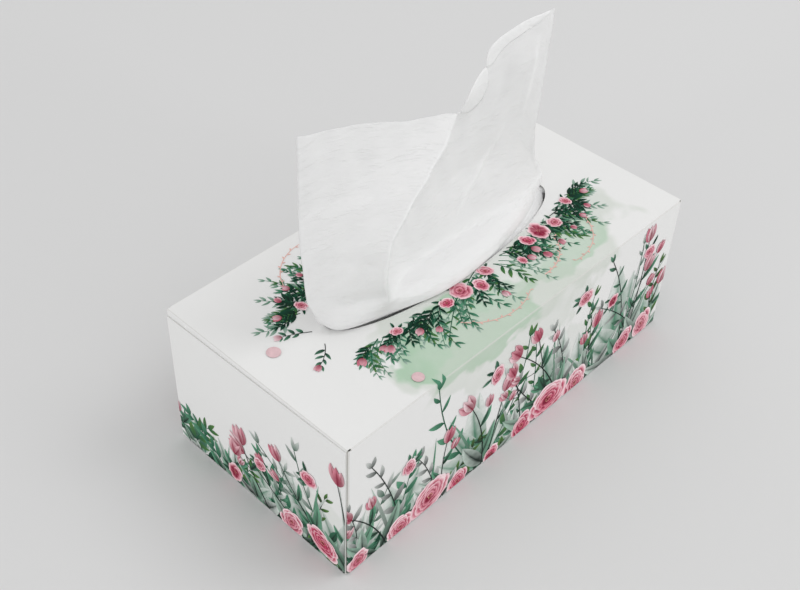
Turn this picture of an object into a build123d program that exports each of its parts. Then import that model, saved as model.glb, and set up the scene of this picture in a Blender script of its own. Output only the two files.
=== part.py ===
from build123d import *
import os

# A tissue box in millimetres: origin at the centre of its base, +Z up, long side along X.
# The camera's side of the photograph is -Y (long printed panel) and -X (closed end).

# Driving sizes of the carton
carton_length = 230.0
carton_width = 113.0
carton_height = 82.0
board = 0.45
fold_radius = 0.5
glue_gap = 0.1
cut_overrun = 5.0

# The opening in the top panel
opening_length = 146.0
opening_width = 40.0

# The glued seam and the closing flaps of both ends
seam_flap = 14.0
dust_flap = 46.0
inner_flap = 52.0
flap_corner = 7.0
outer_flap_drop_back = 3.6
outer_flap_drop_front = 0.8

# The sheets: a folded pile inside the carton and one sheet drawn up through the opening
pile_end_clearance = 13.45
pile_side_clearance = 4.5
pile_fold_radius = 2.5
headroom = 11.5
raised_height = 104.0
sheet_thickness = 0.4

# Places worked out from the sizes above
layer = board + glue_gap
flap_inset = board / 2 + fold_radius + glue_gap
outer_plane = carton_length / 2 - board / 2
inner_plane = outer_plane - layer
dust_plane = inner_plane - layer
tube_half = dust_plane - fold_radius - flap_inset
front_centre = -carton_width / 2 + board / 2
back_centre = carton_width / 2 - board / 2
seam_centre = back_centre - layer
bottom_centre = board / 2
top_centre = carton_height - board / 2
flap_half_width = carton_width / 2 - flap_inset
pile_half_length = dust_plane - board / 2 - pile_end_clearance
pile_half_width = seam_centre - board / 2 - pile_side_clearance
pile_top = carton_height - board - headroom

# The drawn sheet, as gathers one above the other. A row holds the height above the top panel as a
# share of the raised height, then points from the sheet's left edge to its right edge, each as
# shares of half the opening's length and half its width. The fourth point follows the sharp ridge,
# and the points after it follow the pocket behind the ridge and the lobe that rolls over the rim.
gather_shares = [
    (0.00, [(-0.97, -0.02), (-0.92, -0.26), (-0.84, -0.44), (-0.66, -0.66), (-0.34, -0.90),
            (0.08, -0.95), (0.41, -0.80), (0.71, -0.50), (0.93, -0.08)]),
    (0.05, [(-1.07, 0.02), (-1.00, -0.24), (-0.90, -0.50), (-0.69, -0.72), (-0.42, -0.93),
            (0.00, -0.99), (0.37, -0.81), (0.70, -0.48), (0.97, -0.08)]),
    (0.10, [(-1.09, 0.00), (-0.97, -0.30), (-0.84, -0.55), (-0.69, -0.75), (-0.47, -0.42),
            (-0.08, -0.32), (0.29, -0.34), (0.66, -0.32), (0.96, -0.07)]),
    (0.21, [(-1.14, 0.00), (-0.99, -0.22), (-0.82, -0.54), (-0.71, -0.75), (-0.54, -0.18),
            (-0.26, -0.08), (0.15, -0.06), (0.58, -0.06), (0.89, 0.00)]),
    (0.36, [(-1.16, 0.00), (-1.01, -0.20), (-0.82, -0.50), (-0.69, -0.75), (-0.52, -0.10),
            (-0.24, 0.10), (0.17, 0.20), (0.58, 0.10), (0.86, 0.00)]),
    (0.57, [(-1.18, 0.00), (-0.98, -0.17), (-0.70, -0.45), (-0.46, -0.72), (-0.31, -0.15),
            (-0.07, 0.12), (0.26, 0.22), (0.60, 0.05), (0.87, 0.00)]),
    (0.79, [(-1.18, 0.00), (-0.90, -0.08), (-0.50, -0.22), (0.02, -0.18), (0.12, -0.02),
            (0.24, 0.10), (0.43, 0.14), (0.68, -0.05), (0.89, 0.00)]),
    (1.06, [(-1.18, 0.00), (-0.85, 0.02), (-0.42, -0.02), (0.10, -0.04), (0.22, 0.06),
            (0.36, 0.18), (0.56, 0.20), (0.77, -0.05), (0.90, 0.00)]),
]

# The root of the drawn sheet, where it leaves the pile, in the same shares across
root_shares = [(-0.90, 0.10), (-0.80, -0.30), (-0.66, -0.45), (-0.50, -0.25), (-0.27, -0.40),
               (0.07, -0.45), (0.41, -0.40), (0.71, -0.25), (0.90, 0.00)]

# The free edge seen square to the long side: shares of half the opening's length and of the raised
# height. It falls from the left corner to a dip, then rises over two scallops to the right corner.
falling_edge_shares = [(-1.25, 1.02), (-0.88, 0.948), (-0.64, 0.902), (-0.44, 0.848), (-0.25, 0.812),
                       (-0.05, 0.765), (0.13, 0.675)]
first_scallop_shares = [(0.13, 0.675), (0.19, 0.765), (0.345, 0.825)]
second_scallop_shares = [(0.345, 0.825), (0.36, 0.895), (0.50, 0.933), (0.69, 0.970), (0.95, 0.955)]

# How far the sheet's lower half reaches in front of its root, as a share of half the opening's width
tail_front_share = 0.55


def across(shares):
    """Points in plan from shares of the opening's half sizes."""
    return [(x * opening_length / 2, y * opening_width / 2) for x, y in shares]


def upright(shares):
    """Points on a plane square to the long side, from shares of the opening and raised height."""
    return [(x * opening_length / 2, carton_height + z * raised_height) for x, z in shares]


def folded_strip(points):
    """A section of folded board along its centre line, for the sketch that is open."""
    with BuildLine() as centre_line:
        FilletPolyline(*points, radius=fold_radius)
    trace(centre_line.line, line_width=board)


# Carton: one sheet of board, creased, wrapped into a tube, and closed with glued flaps
with BuildPart() as carton:
    with BuildSketch(Plane.YZ):
        folded_strip([
            (back_centre, 0),
            (back_centre, top_centre),
            (front_centre, top_centre),
            (front_centre, bottom_centre),
            (seam_centre, bottom_centre),
            (seam_centre, seam_flap),
        ])
    extrude(amount=tube_half, both=True)

    for end in (-1, 1):
        # Dust flaps fold in from the two long sides
        for centre, side in ((front_centre, 1), (back_centre, -1)):
            with BuildSketch(Plane.XY.offset(flap_inset)):
                folded_strip([
                    (end * tube_half, centre),
                    (end * dust_plane, centre),
                    (end * dust_plane, centre + side * dust_flap),
                ])
            extrude(amount=carton_height - 2 * flap_inset)
        # The inner flap comes down from the top panel
        with BuildSketch(Plane.XZ):
            folded_strip([
                (end * tube_half, top_centre),
                (end * inner_plane, top_centre),
                (end * inner_plane, top_centre - inner_flap),
            ])
        extrude(amount=flap_half_width, both=True)
        # The outer flap comes up from the bottom panel and is glued over the others
        with BuildSketch(Plane.XZ):
            folded_strip([
                (end * tube_half, bottom_centre),
                (end * outer_plane, bottom_centre),
                (end * outer_plane, carton_height - outer_flap_drop_front),
            ])
        extrude(amount=flap_half_width, both=True)
        # Its free edge is cut askew, lower at the back
        with BuildSketch(Plane.YZ.offset(end * (outer_plane - board / 2 - glue_gap / 2))):
            with BuildLine():
                Polyline(
                    (-carton_width / 2, carton_height - outer_flap_drop_front),
                    (carton_width / 2, carton_height - outer_flap_drop_back),
                    (carton_width / 2, carton_height + cut_overrun),
                    (-carton_width / 2, carton_height + cut_overrun),
                    close=True,
                )
            make_face()
        extrude(amount=end * cut_overrun, mode=Mode.SUBTRACT)

    # The free corners of the dust flaps and of the inner flaps are cut off
    free_corners = carton.edges().filter_by(Axis.X).filter_by(
        lambda edge: abs(edge.length - board) < glue_gap / 2
        and abs(edge.center().X) < outer_plane - layer / 2
        and flap_inset / 2 < edge.center().Z < carton_height - flap_inset / 2
    )
    chamfer(free_corners, length=flap_corner)

    # The oval opening in the top panel
    with BuildSketch(Plane.XY.offset(carton_height)):
        Ellipse(opening_length / 2, opening_width / 2)
    extrude(amount=-board - cut_overrun, mode=Mode.SUBTRACT)

# Tissue pile: the interleaved sheets, folded once each, pressed into one block with soft long edges
with BuildPart() as tissue_pile:
    with BuildSketch(Plane.YZ) as pile_section:
        with Locations((0, (pile_top + board) / 2)):
            Rectangle(2 * pile_half_width, pile_top - board)
        fillet(pile_section.vertices(), radius=pile_fold_radius)
    extrude(amount=pile_half_length, both=True)

# Raised tissue: the top sheet, gathered through the opening, with its lower half on the pile
gathers = [(pile_top, root_shares)]
gathers += [(carton_height + share * raised_height, shares) for share, shares in gather_shares]

with BuildPart() as raised_tissue:
    for height, shares in gathers:
        with BuildSketch(Plane.XY.offset(height)):
            with BuildLine():
                front = Spline(*[(x, y - sheet_thickness / 2) for x, y in across(shares)])
                back = Spline(*[(x, y + sheet_thickness / 2) for x, y in across(shares)])
                Line(front @ 0, back @ 0)
                Line(front @ 1, back @ 1)
            make_face()
    loft(ruled=True)
    # What stands above the free edge comes off
    with BuildSketch(Plane.XZ):
        with BuildLine():
            falling_edge = Spline(*upright(falling_edge_shares))
            Spline(*upright(first_scallop_shares))
            rising_edge = Spline(*upright(second_scallop_shares))
            Polyline(
                rising_edge @ 1,
                (carton_length / 2, carton_height + raised_height),
                (carton_length / 2, carton_height + 2 * raised_height),
                (-carton_length / 2, carton_height + 2 * raised_height),
                falling_edge @ 0,
            )
        make_face()
    extrude(amount=opening_width, both=True, mode=Mode.SUBTRACT)
    # The lower half lies flat on the pile, behind the root
    tail_front = -tail_front_share * opening_width / 2
    tail_back = pile_half_width - pile_fold_radius
    with BuildSketch(Plane.XY.offset(pile_top)):
        with Locations((0, (tail_front + tail_back) / 2)):
            Rectangle(2 * pile_half_length, tail_back - tail_front)
    extrude(amount=sheet_thickness)

os.makedirs("parts", exist_ok=True)
carton.part.label = "carton"
tissue_pile.part.label = "tissue_pile"
raised_tissue.part.label = "raised_tissue"
export_step(carton.part, "parts/carton.step")
export_step(tissue_pile.part, "parts/tissue_pile.step")
export_step(raised_tissue.part, "parts/raised_tissue.step")
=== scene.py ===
import math
import random

import bmesh
import bpy
import numpy as np
from mathutils import Matrix, Vector


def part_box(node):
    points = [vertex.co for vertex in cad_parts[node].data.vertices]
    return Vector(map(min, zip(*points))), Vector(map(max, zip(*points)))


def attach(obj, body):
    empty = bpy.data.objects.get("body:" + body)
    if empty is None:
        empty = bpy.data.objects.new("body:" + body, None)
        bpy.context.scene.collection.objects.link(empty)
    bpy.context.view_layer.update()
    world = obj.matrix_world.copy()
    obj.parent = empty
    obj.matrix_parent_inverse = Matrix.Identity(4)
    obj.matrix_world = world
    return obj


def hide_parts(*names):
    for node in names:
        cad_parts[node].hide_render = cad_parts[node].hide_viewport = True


bl_info = {
    "name": "Tissue box",
    "version": (1, 0, 0),
    "blender": (4, 5, 0),
    "location": "View3D > Sidebar > Tissue box",
    "description": "A printed folding carton of tissues with one sheet drawn up through the oval opening",
    "category": "Object",
}

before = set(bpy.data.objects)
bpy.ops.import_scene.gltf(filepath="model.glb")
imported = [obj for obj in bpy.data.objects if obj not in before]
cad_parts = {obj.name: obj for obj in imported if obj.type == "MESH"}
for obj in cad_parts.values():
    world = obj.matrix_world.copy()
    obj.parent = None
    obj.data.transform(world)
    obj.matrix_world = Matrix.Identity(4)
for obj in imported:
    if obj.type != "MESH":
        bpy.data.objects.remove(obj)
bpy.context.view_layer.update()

# Lengths in this file are in millimetres until a mesh is written. The carton is read from the frame.
MM = 0.001
CARTON_LOW, CARTON_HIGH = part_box("carton")
PILE_LOW, PILE_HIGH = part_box("tissue_pile")
LENGTH = (CARTON_HIGH[0] - CARTON_LOW[0]) / MM
WIDTH = (CARTON_HIGH[1] - CARTON_LOW[1]) / MM
HEIGHT = CARTON_HIGH[2] / MM
PILE_HALF_LENGTH = PILE_HIGH[0] / MM
PILE_HALF_WIDTH = PILE_HIGH[1] / MM
PILE_TOP = PILE_HIGH[2] / MM
PILE_FOOT = PILE_LOW[2] / MM
BOARD = 0.45
FOLD = 0.725
UPRIGHT_FOLD = LENGTH / 2 - 1.825
TOP_FOLD = LENGTH / 2 - 1.3
OPENING_HALF_LENGTH = 73.0
OPENING_HALF_WIDTH = 20.0
RAISED = 104.0
FLAP_DROP_FRONT = 0.8
FLAP_DROP_BACK = 3.6


def ink(red, green, blue, alpha=1.0):
    """A printed colour, given as it looks on a screen from 0 to 255, as Blender's linear values."""
    steps = [value / 255 for value in (red, green, blue)]
    return tuple(v / 12.92 if v <= 0.04045 else ((v + 0.055) / 1.055) ** 2.4 for v in steps) + (alpha,)


# Settings

def colour(name, description, value):
    return bpy.props.FloatVectorProperty(name=name, description=description, default=value, size=4,
                                         subtype="COLOR", min=0.0, max=1.0)


def length(name, description, value):
    return bpy.props.FloatProperty(name=name, description=description, default=value * MM, unit="LENGTH",
                                   min=0.0, precision=5)


def power(name, description, value):
    return bpy.props.FloatProperty(name=name, description=description, default=value, unit="POWER", min=0.0)


class PrintedCartonSettings(bpy.types.PropertyGroup):
    """Colours and sizes of the printed board."""
    board_white: colour("Board white", "Coated print side of the folding board", ink(232, 232, 231))
    board_back: colour("Board back", "Uncoated side, seen inside the opening", ink(196, 195, 190))
    board_cut: colour("Cut edge", "Cut edges of the board", ink(203, 202, 198))
    wash_mint: colour("Mint wash", "Strongest tone of the green wash", ink(168, 200, 172))
    wash_sage: colour("Sage wash", "Pale green-grey tone of the wash", ink(202, 209, 199))
    leaf_dark: colour("Dark leaf", "Darkest leaf tone", ink(2, 26, 18))
    leaf_green: colour("Leaf", "Middle leaf tone", ink(8, 82, 56))
    leaf_sage: colour("Sage leaf", "Pale leaf tone", ink(98, 160, 128))
    leaf_fresh: colour("Fresh leaf", "Yellow-green of the young leaves", ink(92, 136, 66))
    blossom_deep: colour("Deep blossom", "Heart of the blossoms and foot of the buds", ink(122, 10, 44))
    blossom_rose: colour("Rose blossom", "Middle tone of the petals", ink(200, 62, 100))
    blossom_pale: colour("Pale blossom", "Rim of the petals", ink(248, 226, 230))
    tendril_pink: colour("Tendril pink", "Thin curled lines over the wash", ink(232, 186, 176))
    disc_pink: colour("Disc pink", "Small round spots", ink(222, 190, 194))
    heart_gold: colour("Heart gold", "Dots in the hearts of the blossoms", ink(236, 204, 170))
    heart_brown: colour("Heart brown", "Rims of these dots", ink(190, 120, 100))
    ink_lift: length("Ink lift", "Height of one ink layer over the board", 0.07)
    print_seed: bpy.props.IntProperty(name="Print seed", description="Places of the printed plants",
                                      default=11)


class TissueSettings(bpy.types.PropertyGroup):
    """Sizes and colours of the folded pile and of the drawn sheet."""
    sheet_width: length("Sheet width", "Width of one flat sheet", 200.0)
    sheet_length: length("Sheet length", "Length of one flat sheet", 200.0)
    sheet_thickness: length("Sheet thickness", "Thickness of the two-ply sheet", 0.24)
    fold_height: length("Fold height", "Height of one folded sheet in the pile", 1.16)
    tissue_white: colour("Tissue white", "Colour of the tissue", ink(245, 245, 245))
    crepe_depth: bpy.props.FloatProperty(name="Crepe depth", description="Strength of the fine crepe",
                                         default=0.5, min=0.0, max=1.0)


class StageSettings(bpy.types.PropertyGroup):
    """The floor, the lamps and the view."""
    floor_grey: colour("Floor", "Colour of the floor", ink(216, 216, 216))
    key_power: power("Key power", "Lamp high up, to the right of the front", 7.0)
    left_power: power("Left fill power", "Low lamp that faces the left end", 14.8)
    front_power: power("Front fill power", "Low lamp that faces the front", 13.8)
    sky_level: bpy.props.FloatProperty(name="Sky level", description="Even light from all round",
                                       default=0.81, min=0.0)
    lens: bpy.props.FloatProperty(name="Lens", description="Focal length of the camera in millimetres",
                                  default=53.37, min=1.0)


# Meshes

def new_piece(name, mesh, *materials):
    """An object for the mesh, with its materials, linked to the scene."""
    for material in materials:
        mesh.materials.append(material)
    piece = bpy.data.objects.new(name, mesh)
    bpy.context.scene.collection.objects.link(piece)
    return piece


def grid_faces(rows, columns, start=0):
    """Faces of a grid of points that is stored row by row."""
    first = start + np.arange(rows - 1)[:, None] * columns + np.arange(columns - 1)[None, :]
    return np.stack([first, first + 1, first + columns + 1, first + columns], axis=-1).reshape(-1, 4)


def cubic_through(knots, values, spots):
    """A natural cubic through values at knots, read at spots."""
    count = len(knots)
    steps = np.diff(knots)
    system = np.eye(count)
    right = np.zeros((count, values.shape[1]))
    for i in range(1, count - 1):
        system[i, i - 1:i + 2] = steps[i - 1], 2 * (steps[i - 1] + steps[i]), steps[i]
        right[i] = 6 * ((values[i + 1] - values[i]) / steps[i] - (values[i] - values[i - 1]) / steps[i - 1])
    bend = np.linalg.solve(system, right)
    k = np.clip(np.searchsorted(knots, spots, side="right") - 1, 0, count - 2)
    step = steps[k]
    a = (knots[k + 1] - spots) / step
    b = 1 - a
    curve = (a ** 3 - a)[:, None] * bend[k] + (b ** 3 - b)[:, None] * bend[k + 1]
    return a[:, None] * values[k] + b[:, None] * values[k + 1] + curve * (step ** 2)[:, None] / 6


def chord_knots(points):
    return np.concatenate([[0.0], np.cumsum(np.linalg.norm(np.diff(points, axis=0), axis=1))])


def steady_cubic(knots, rows, heights):
    """Places on each upright line of the sheet at the given heights, smooth and without overshoot."""
    steps = np.diff(knots)[:, None, None]
    rises = np.diff(rows, axis=0) / steps
    slopes = np.zeros_like(rows)
    together = rises[1:] * rises[:-1]
    total = np.where(together > 0, rises[1:] + rises[:-1], 1.0)
    slopes[1:-1] = np.where(together > 0, 2 * together / total, 0.0)
    slopes[0], slopes[-1] = rises[0], rises[-1]
    k = np.clip(np.searchsorted(knots, heights, side="right") - 1, 0, len(knots) - 2)
    line = np.broadcast_to(np.arange(rows.shape[1]), heights.shape)
    step = knots[k + 1] - knots[k]
    t = ((heights - knots[k]) / step)[..., None]
    step = step[..., None]
    return ((2 * t ** 3 - 3 * t ** 2 + 1) * rows[k, line] + (t ** 3 - 2 * t ** 2 + t) * step * slopes[k, line]
            + (3 * t ** 2 - 2 * t ** 3) * rows[k + 1, line] + (t ** 3 - t ** 2) * step * slopes[k + 1, line])


def lay_flat_map(mesh, spots):
    """Gives a mesh its flat map, from one spot for each point."""
    corners = np.zeros(len(mesh.loops), np.int32)
    mesh.loops.foreach_get("vertex_index", corners)
    flat_map = mesh.uv_layers.new(name="OFBake")
    flat_map.data.foreach_set("uv", spots[corners].ravel())


# Materials

NUMBER = "NodeSocketFloat"
VECTOR = "NodeSocketVector"
BOARD_BUMP = 0.12
BOARD_BUMP_DEPTH = 0.00004
WASH_EDGE = 0.16
# Washes in the flat blank: centre, reach, ripple, strength and colour
WASHES = (
    ((4.0, HEIGHT + 20.0), (84.0, 31.0), "slow", 0.6, "wash_sage"),
    ((-30.0, HEIGHT + 12.0), (44.0, 23.0), "quick", 0.85, "wash_mint"),
    ((44.0, HEIGHT + 20.0), (34.0, 18.0), "quick", 0.6, "wash_mint"),
    ((8.0, HEIGHT + 24.0), (22.0, 13.0), "slow", 0.3, "board_white"),
    ((-6.0, HEIGHT - 6.0), (60.0, 24.0), "quick", 0.45, "wash_sage"),
    ((-70.0, 22.0), (40.0, 24.0), "slow", 0.3, "wash_sage"),
    ((52.0, 26.0), (52.0, 26.0), "quick", 0.35, "wash_sage"),
)
END_WASH_CENTRE = (34.0, 16.0)
END_WASH_REACH = (40.0, 30.0)


class Wiring:
    """Adds shader nodes to one tree, from left to right."""

    def __init__(self, tree):
        self.tree = tree
        self.place = 0

    def node(self, kind, inputs=(), **settings):
        node = self.tree.nodes.new(kind)
        self.place += 1
        node.location = (self.place % 12 * 180, -(self.place // 12) * 260)
        for name, value in settings.items():
            setattr(node, name, value)
        for key, value in dict(inputs).items():
            self.feed(node.inputs[key], value)
        return node

    def feed(self, socket, value):
        if isinstance(value, bpy.types.NodeSocket):
            self.tree.links.new(value, socket)
        else:
            socket.default_value = value

    def math(self, operation, *values, clamp=False):
        node = self.node("ShaderNodeMath", operation=operation, use_clamp=clamp)
        for socket, value in zip(node.inputs, values):
            self.feed(socket, value)
        return node.outputs[0]

    def plus(self, first, second):
        return self.math("ADD", first, second)

    def minus(self, first, second):
        return self.math("SUBTRACT", first, second)

    def times(self, first, second):
        return self.math("MULTIPLY", first, second)

    def soft_step(self, value, low, high):
        """0 below low, 1 above high, smooth between."""
        node = self.node("ShaderNodeMapRange", interpolation_type="SMOOTHSTEP")
        for socket, amount in zip(node.inputs, (value, low, high, 0.0, 1.0)):
            self.feed(socket, amount)
        return node.outputs[0]

    def mix(self, share, first, second):
        """Two colours mixed."""
        node = self.node("ShaderNodeMix", data_type="RGBA")
        self.feed(node.inputs[0], share)
        self.feed(node.inputs[6], first)
        self.feed(node.inputs[7], second)
        return node.outputs[2]

    def toned(self, shade, tone):
        """A colour made lighter or darker by a tone near one."""
        even = self.node("ShaderNodeCombineXYZ", {"X": tone, "Y": tone, "Z": tone}).outputs[0]
        node = self.node("ShaderNodeMix", data_type="RGBA", blend_type="MULTIPLY")
        self.feed(node.inputs[0], 1.0)
        self.feed(node.inputs[6], shade)
        self.feed(node.inputs[7], even)
        return node.outputs[2]

    def noise(self, place, scale, detail=3.0, roughness=0.5, distortion=0.0):
        node = self.node("ShaderNodeTexNoise", {"Vector": place, "Scale": scale, "Detail": detail,
                                                "Roughness": roughness, "Distortion": distortion})
        return node.outputs[0]

    def vector(self, operation, first, second):
        node = self.node("ShaderNodeVectorMath", operation=operation)
        self.feed(node.inputs[0], first)
        self.feed(node.inputs[1], second)
        return node.outputs[0]

    def group(self, tree, **inputs):
        node = self.node("ShaderNodeGroup")
        node.node_tree = tree
        for name, value in inputs.items():
            self.feed(node.inputs[name.replace("_", " ")], value)
        return node.outputs


def effect(name, inputs, outputs):
    """An empty shader node group with named sockets, its wiring and its two ends."""
    tree = bpy.data.node_groups.new(name, "ShaderNodeTree")
    for socket, kind, value in inputs:
        made = tree.interface.new_socket(name=socket, in_out="INPUT", socket_type=kind)
        if value is not None:
            made.default_value = value
    for socket, kind in outputs:
        tree.interface.new_socket(name=socket, in_out="OUTPUT", socket_type=kind)
    wiring = Wiring(tree)
    return tree, wiring, wiring.node("NodeGroupInput").outputs, wiring.node("NodeGroupOutput").inputs


def paper_fibre_effect():
    """Fine felted fibres: a height for the bump and a tone a little off even."""
    if "paper fibre" in bpy.data.node_groups:
        return bpy.data.node_groups["paper fibre"]
    tree, w, given, result = effect(
        "paper fibre",
        [("Place", VECTOR, None), ("Fibre Size", NUMBER, 1.0), ("Mottle", NUMBER, 0.02)],
        [("Height", NUMBER), ("Tone", NUMBER)],
    )
    scale = w.math("DIVIDE", 1.0, given["Fibre Size"])
    fine = w.noise(given["Place"], scale, 4.0, 0.6, 0.6)
    broad = w.noise(given["Place"], w.times(scale, 0.09), 3.0, 0.55)
    w.feed(result["Height"], w.plus(fine, w.times(broad, 0.6)))
    uneven = w.minus(w.plus(w.times(fine, 0.35), w.times(broad, 0.65)), 0.5)
    w.feed(result["Tone"], w.plus(1.0, w.times(uneven, w.times(given["Mottle"], 2.0))))
    return tree


def watercolour_effect():
    """Pigment that settles unevenly: a tone near one, grainy and cloudy."""
    if "watercolour grain" in bpy.data.node_groups:
        return bpy.data.node_groups["watercolour grain"]
    tree, w, given, result = effect(
        "watercolour grain",
        [("Place", VECTOR, None), ("Cloud Size", NUMBER, 9.0), ("Amount", NUMBER, 0.2)],
        [("Tone", NUMBER), ("Cloud", NUMBER)],
    )
    cloud = w.noise(given["Place"], w.math("DIVIDE", 1.0, given["Cloud Size"]), 5.0, 0.55, 0.8)
    grain = w.noise(given["Place"], 2.4, 3.0, 0.7)
    both = w.plus(w.times(cloud, 0.75), w.times(grain, 0.25))
    w.feed(result["Tone"], w.plus(1.0, w.times(w.minus(both, 0.5), w.times(given["Amount"], 2.0))))
    w.feed(result["Cloud"], cloud)
    return tree


def blank_material(name):
    """A material with no nodes yet, and its wiring."""
    material = bpy.data.materials.new(name)
    material.use_nodes = True
    material.node_tree.nodes.clear()
    return material, Wiring(material.node_tree)


def bumped_shader(w, shade, roughness, height, bump, distance, **constants):
    """The Principled shader with its bump, and with the values that are the same all over."""
    hollow = w.node("ShaderNodeBump", {"Height": height, "Strength": bump, "Distance": distance})
    shader = w.node("ShaderNodeBsdfPrincipled", {"Base Color": shade, "Roughness": roughness,
                                                 "Normal": hollow.outputs[0]})
    for name, value in constants.items():
        shader.inputs[name.replace("_", " ")].default_value = value
    return shader.outputs[0]


def place_in_millimetres(w):
    """Where a point lies on the object, in millimetres: the vector and its three parts."""
    place = w.vector("MULTIPLY", w.node("ShaderNodeTexCoord").outputs["Object"], (1 / MM, 1 / MM, 1 / MM))
    parts = w.node("ShaderNodeSeparateXYZ", {"Vector": place}).outputs
    return place, parts[0], parts[1], parts[2]


def wash_patch(w, across, along, centre, reach, ripple):
    """A patch of wash: its body, and the darker rim where the colour dries."""
    a = w.math("DIVIDE", w.minus(across, centre[0]), reach[0])
    b = w.math("DIVIDE", w.minus(along, centre[1]), reach[1])
    level = w.plus(w.minus(1.0, w.math("SQRT", w.plus(w.times(a, a), w.times(b, b)))), ripple)
    body = w.soft_step(level, 0.0, WASH_EDGE)
    rim = w.times(body, w.minus(1.0, w.soft_step(level, WASH_EDGE, WASH_EDGE * 3)))
    return body, rim


def opening_edge(w, x, y, z):
    """1 on the cut edge of the oval opening."""
    across = w.math("DIVIDE", x, OPENING_HALF_LENGTH)
    along = w.math("DIVIDE", y, OPENING_HALF_WIDTH)
    oval = w.math("SQRT", w.plus(w.math("POWER", across, 2.0), w.math("POWER", along, 2.0)))
    inside = w.times(w.math("LESS_THAN", oval, 1.0005), w.math("GREATER_THAN", z, HEIGHT - BOARD))
    return w.times(inside, w.math("LESS_THAN", z, HEIGHT - 0.01))


def washed_tone(w, settings, place, x, y, z, side_x):
    """The white print side with its washes, laid out in the flat blank: up the front, over the top."""
    turned_x = w.times(x, w.times(w.math("SIGN", y), -1.0))
    blank_s = w.plus(z, w.minus(WIDTH / 2, w.math("ABSOLUTE", y)))
    grain = w.group(watercolour_effect(), Place=place, Cloud_Size=16.0, Amount=0.16)
    ripples = {
        "slow": w.times(w.minus(w.noise(place, 0.04, 2.5, 0.5, 0.2), 0.5), 1.3),
        "quick": w.times(w.minus(w.noise(place, 0.07, 2.5, 0.5, 0.3), 0.5), 1.1),
    }
    near_half = w.math("MAXIMUM", w.soft_step(w.times(y, -1.0), 4.0, 14.0),
                       w.soft_step(w.minus(HEIGHT, z), 1.0, 16.0))
    long_panels = w.soft_step(side_x, 0.6, 0.9)
    tone = tuple(settings.board_white)
    for centre, reach, ripple, strength, name in WASHES:
        body, rim = wash_patch(w, turned_x, blank_s, centre, reach, ripples[ripple])
        share = w.times(w.plus(w.times(body, 0.78), w.times(rim, 0.22)), strength)
        share = w.math("MULTIPLY", share, w.times(grain["Tone"], long_panels), clamp=True)
        tone = w.mix(w.times(share, near_half), tone, tuple(getattr(settings, name)))
    end_across = w.times(y, w.math("SIGN", x))
    end_body, _ = wash_patch(w, end_across, z, END_WASH_CENTRE, END_WASH_REACH, ripples["quick"])
    end_share = w.times(w.times(end_body, 0.32), w.minus(1.0, long_panels))
    return w.mix(end_share, tone, tuple(settings.wash_sage))


def printed_board_material(settings):
    """White-lined folding board: coated print side with washes, grey-white back, plain cut edges."""
    material, w = blank_material("printed folding board")
    place, x, y, z = place_in_millimetres(w)
    side_x = w.minus(LENGTH / 2, w.math("ABSOLUTE", x))
    side_y = w.minus(WIDTH / 2, w.math("ABSOLUTE", y))
    depth = w.math("MINIMUM", w.math("MINIMUM", side_x, side_y),
                   w.math("MINIMUM", w.minus(HEIGHT, z), z))
    behind = w.times(w.soft_step(depth, 0.33, 0.42), w.soft_step(side_x, 0.7, 0.8))
    tone = washed_tone(w, settings, place, x, y, z, side_x)
    tone = w.mix(behind, tone, tuple(settings.board_back))
    tone = w.mix(opening_edge(w, x, y, z), tone, tuple(settings.board_cut))

    # The coating is rubbed along the folds, and the flaps' upright edges are cut board
    in_fold = w.times(w.soft_step(depth, 0.008, 0.03), w.minus(1.0, w.soft_step(depth, 0.24, 0.34)))
    rubbed = w.times(in_fold, w.soft_step(w.noise(place, 0.7, 4.0, 0.7), 0.42, 0.7))
    bare = w.plus(w.times(in_fold, 0.5), w.times(rubbed, 0.2))
    tone = w.mix(bare, tone, tuple(settings.board_cut))
    fibre = w.group(paper_fibre_effect(), Place=place, Fibre_Size=0.9, Mottle=0.012)
    worn = w.plus(w.times(behind, 0.35), w.times(rubbed, 0.25))
    rough = w.math("ADD", 0.52, worn, clamp=True)
    surface = bumped_shader(w, w.toned(tone, fibre["Tone"]), rough, fibre["Height"], BOARD_BUMP,
                            BOARD_BUMP_DEPTH, Specular_IOR_Level=0.3)
    w.node("ShaderNodeOutputMaterial", {"Surface": surface})
    return material


def printing_ink_material():
    """Ink on the board: the painted tone of each shape, with watercolour grain."""
    material, w = blank_material("watercolour print")
    painted = w.node("ShaderNodeAttribute", attribute_name="painted_tone").outputs["Color"]
    place = place_in_millimetres(w)[0]
    grain = w.group(watercolour_effect(), Place=place, Cloud_Size=3.2, Amount=0.3)
    fibre = w.group(paper_fibre_effect(), Place=place, Fibre_Size=0.9, Mottle=0.012)
    rough = w.plus(0.48, w.times(grain["Cloud"], 0.12))
    surface = bumped_shader(w, w.toned(painted, grain["Tone"]), rough, fibre["Height"], BOARD_BUMP,
                            BOARD_BUMP_DEPTH, Specular_IOR_Level=0.12)
    w.node("ShaderNodeOutputMaterial", {"Surface": surface})
    return material


def stretched_noise(w, place, stretch, detail, roughness, distortion=0.0):
    """Noise drawn out along the sheet's width."""
    return w.noise(w.vector("MULTIPLY", place, stretch), 1.0, detail, roughness, distortion)


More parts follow.
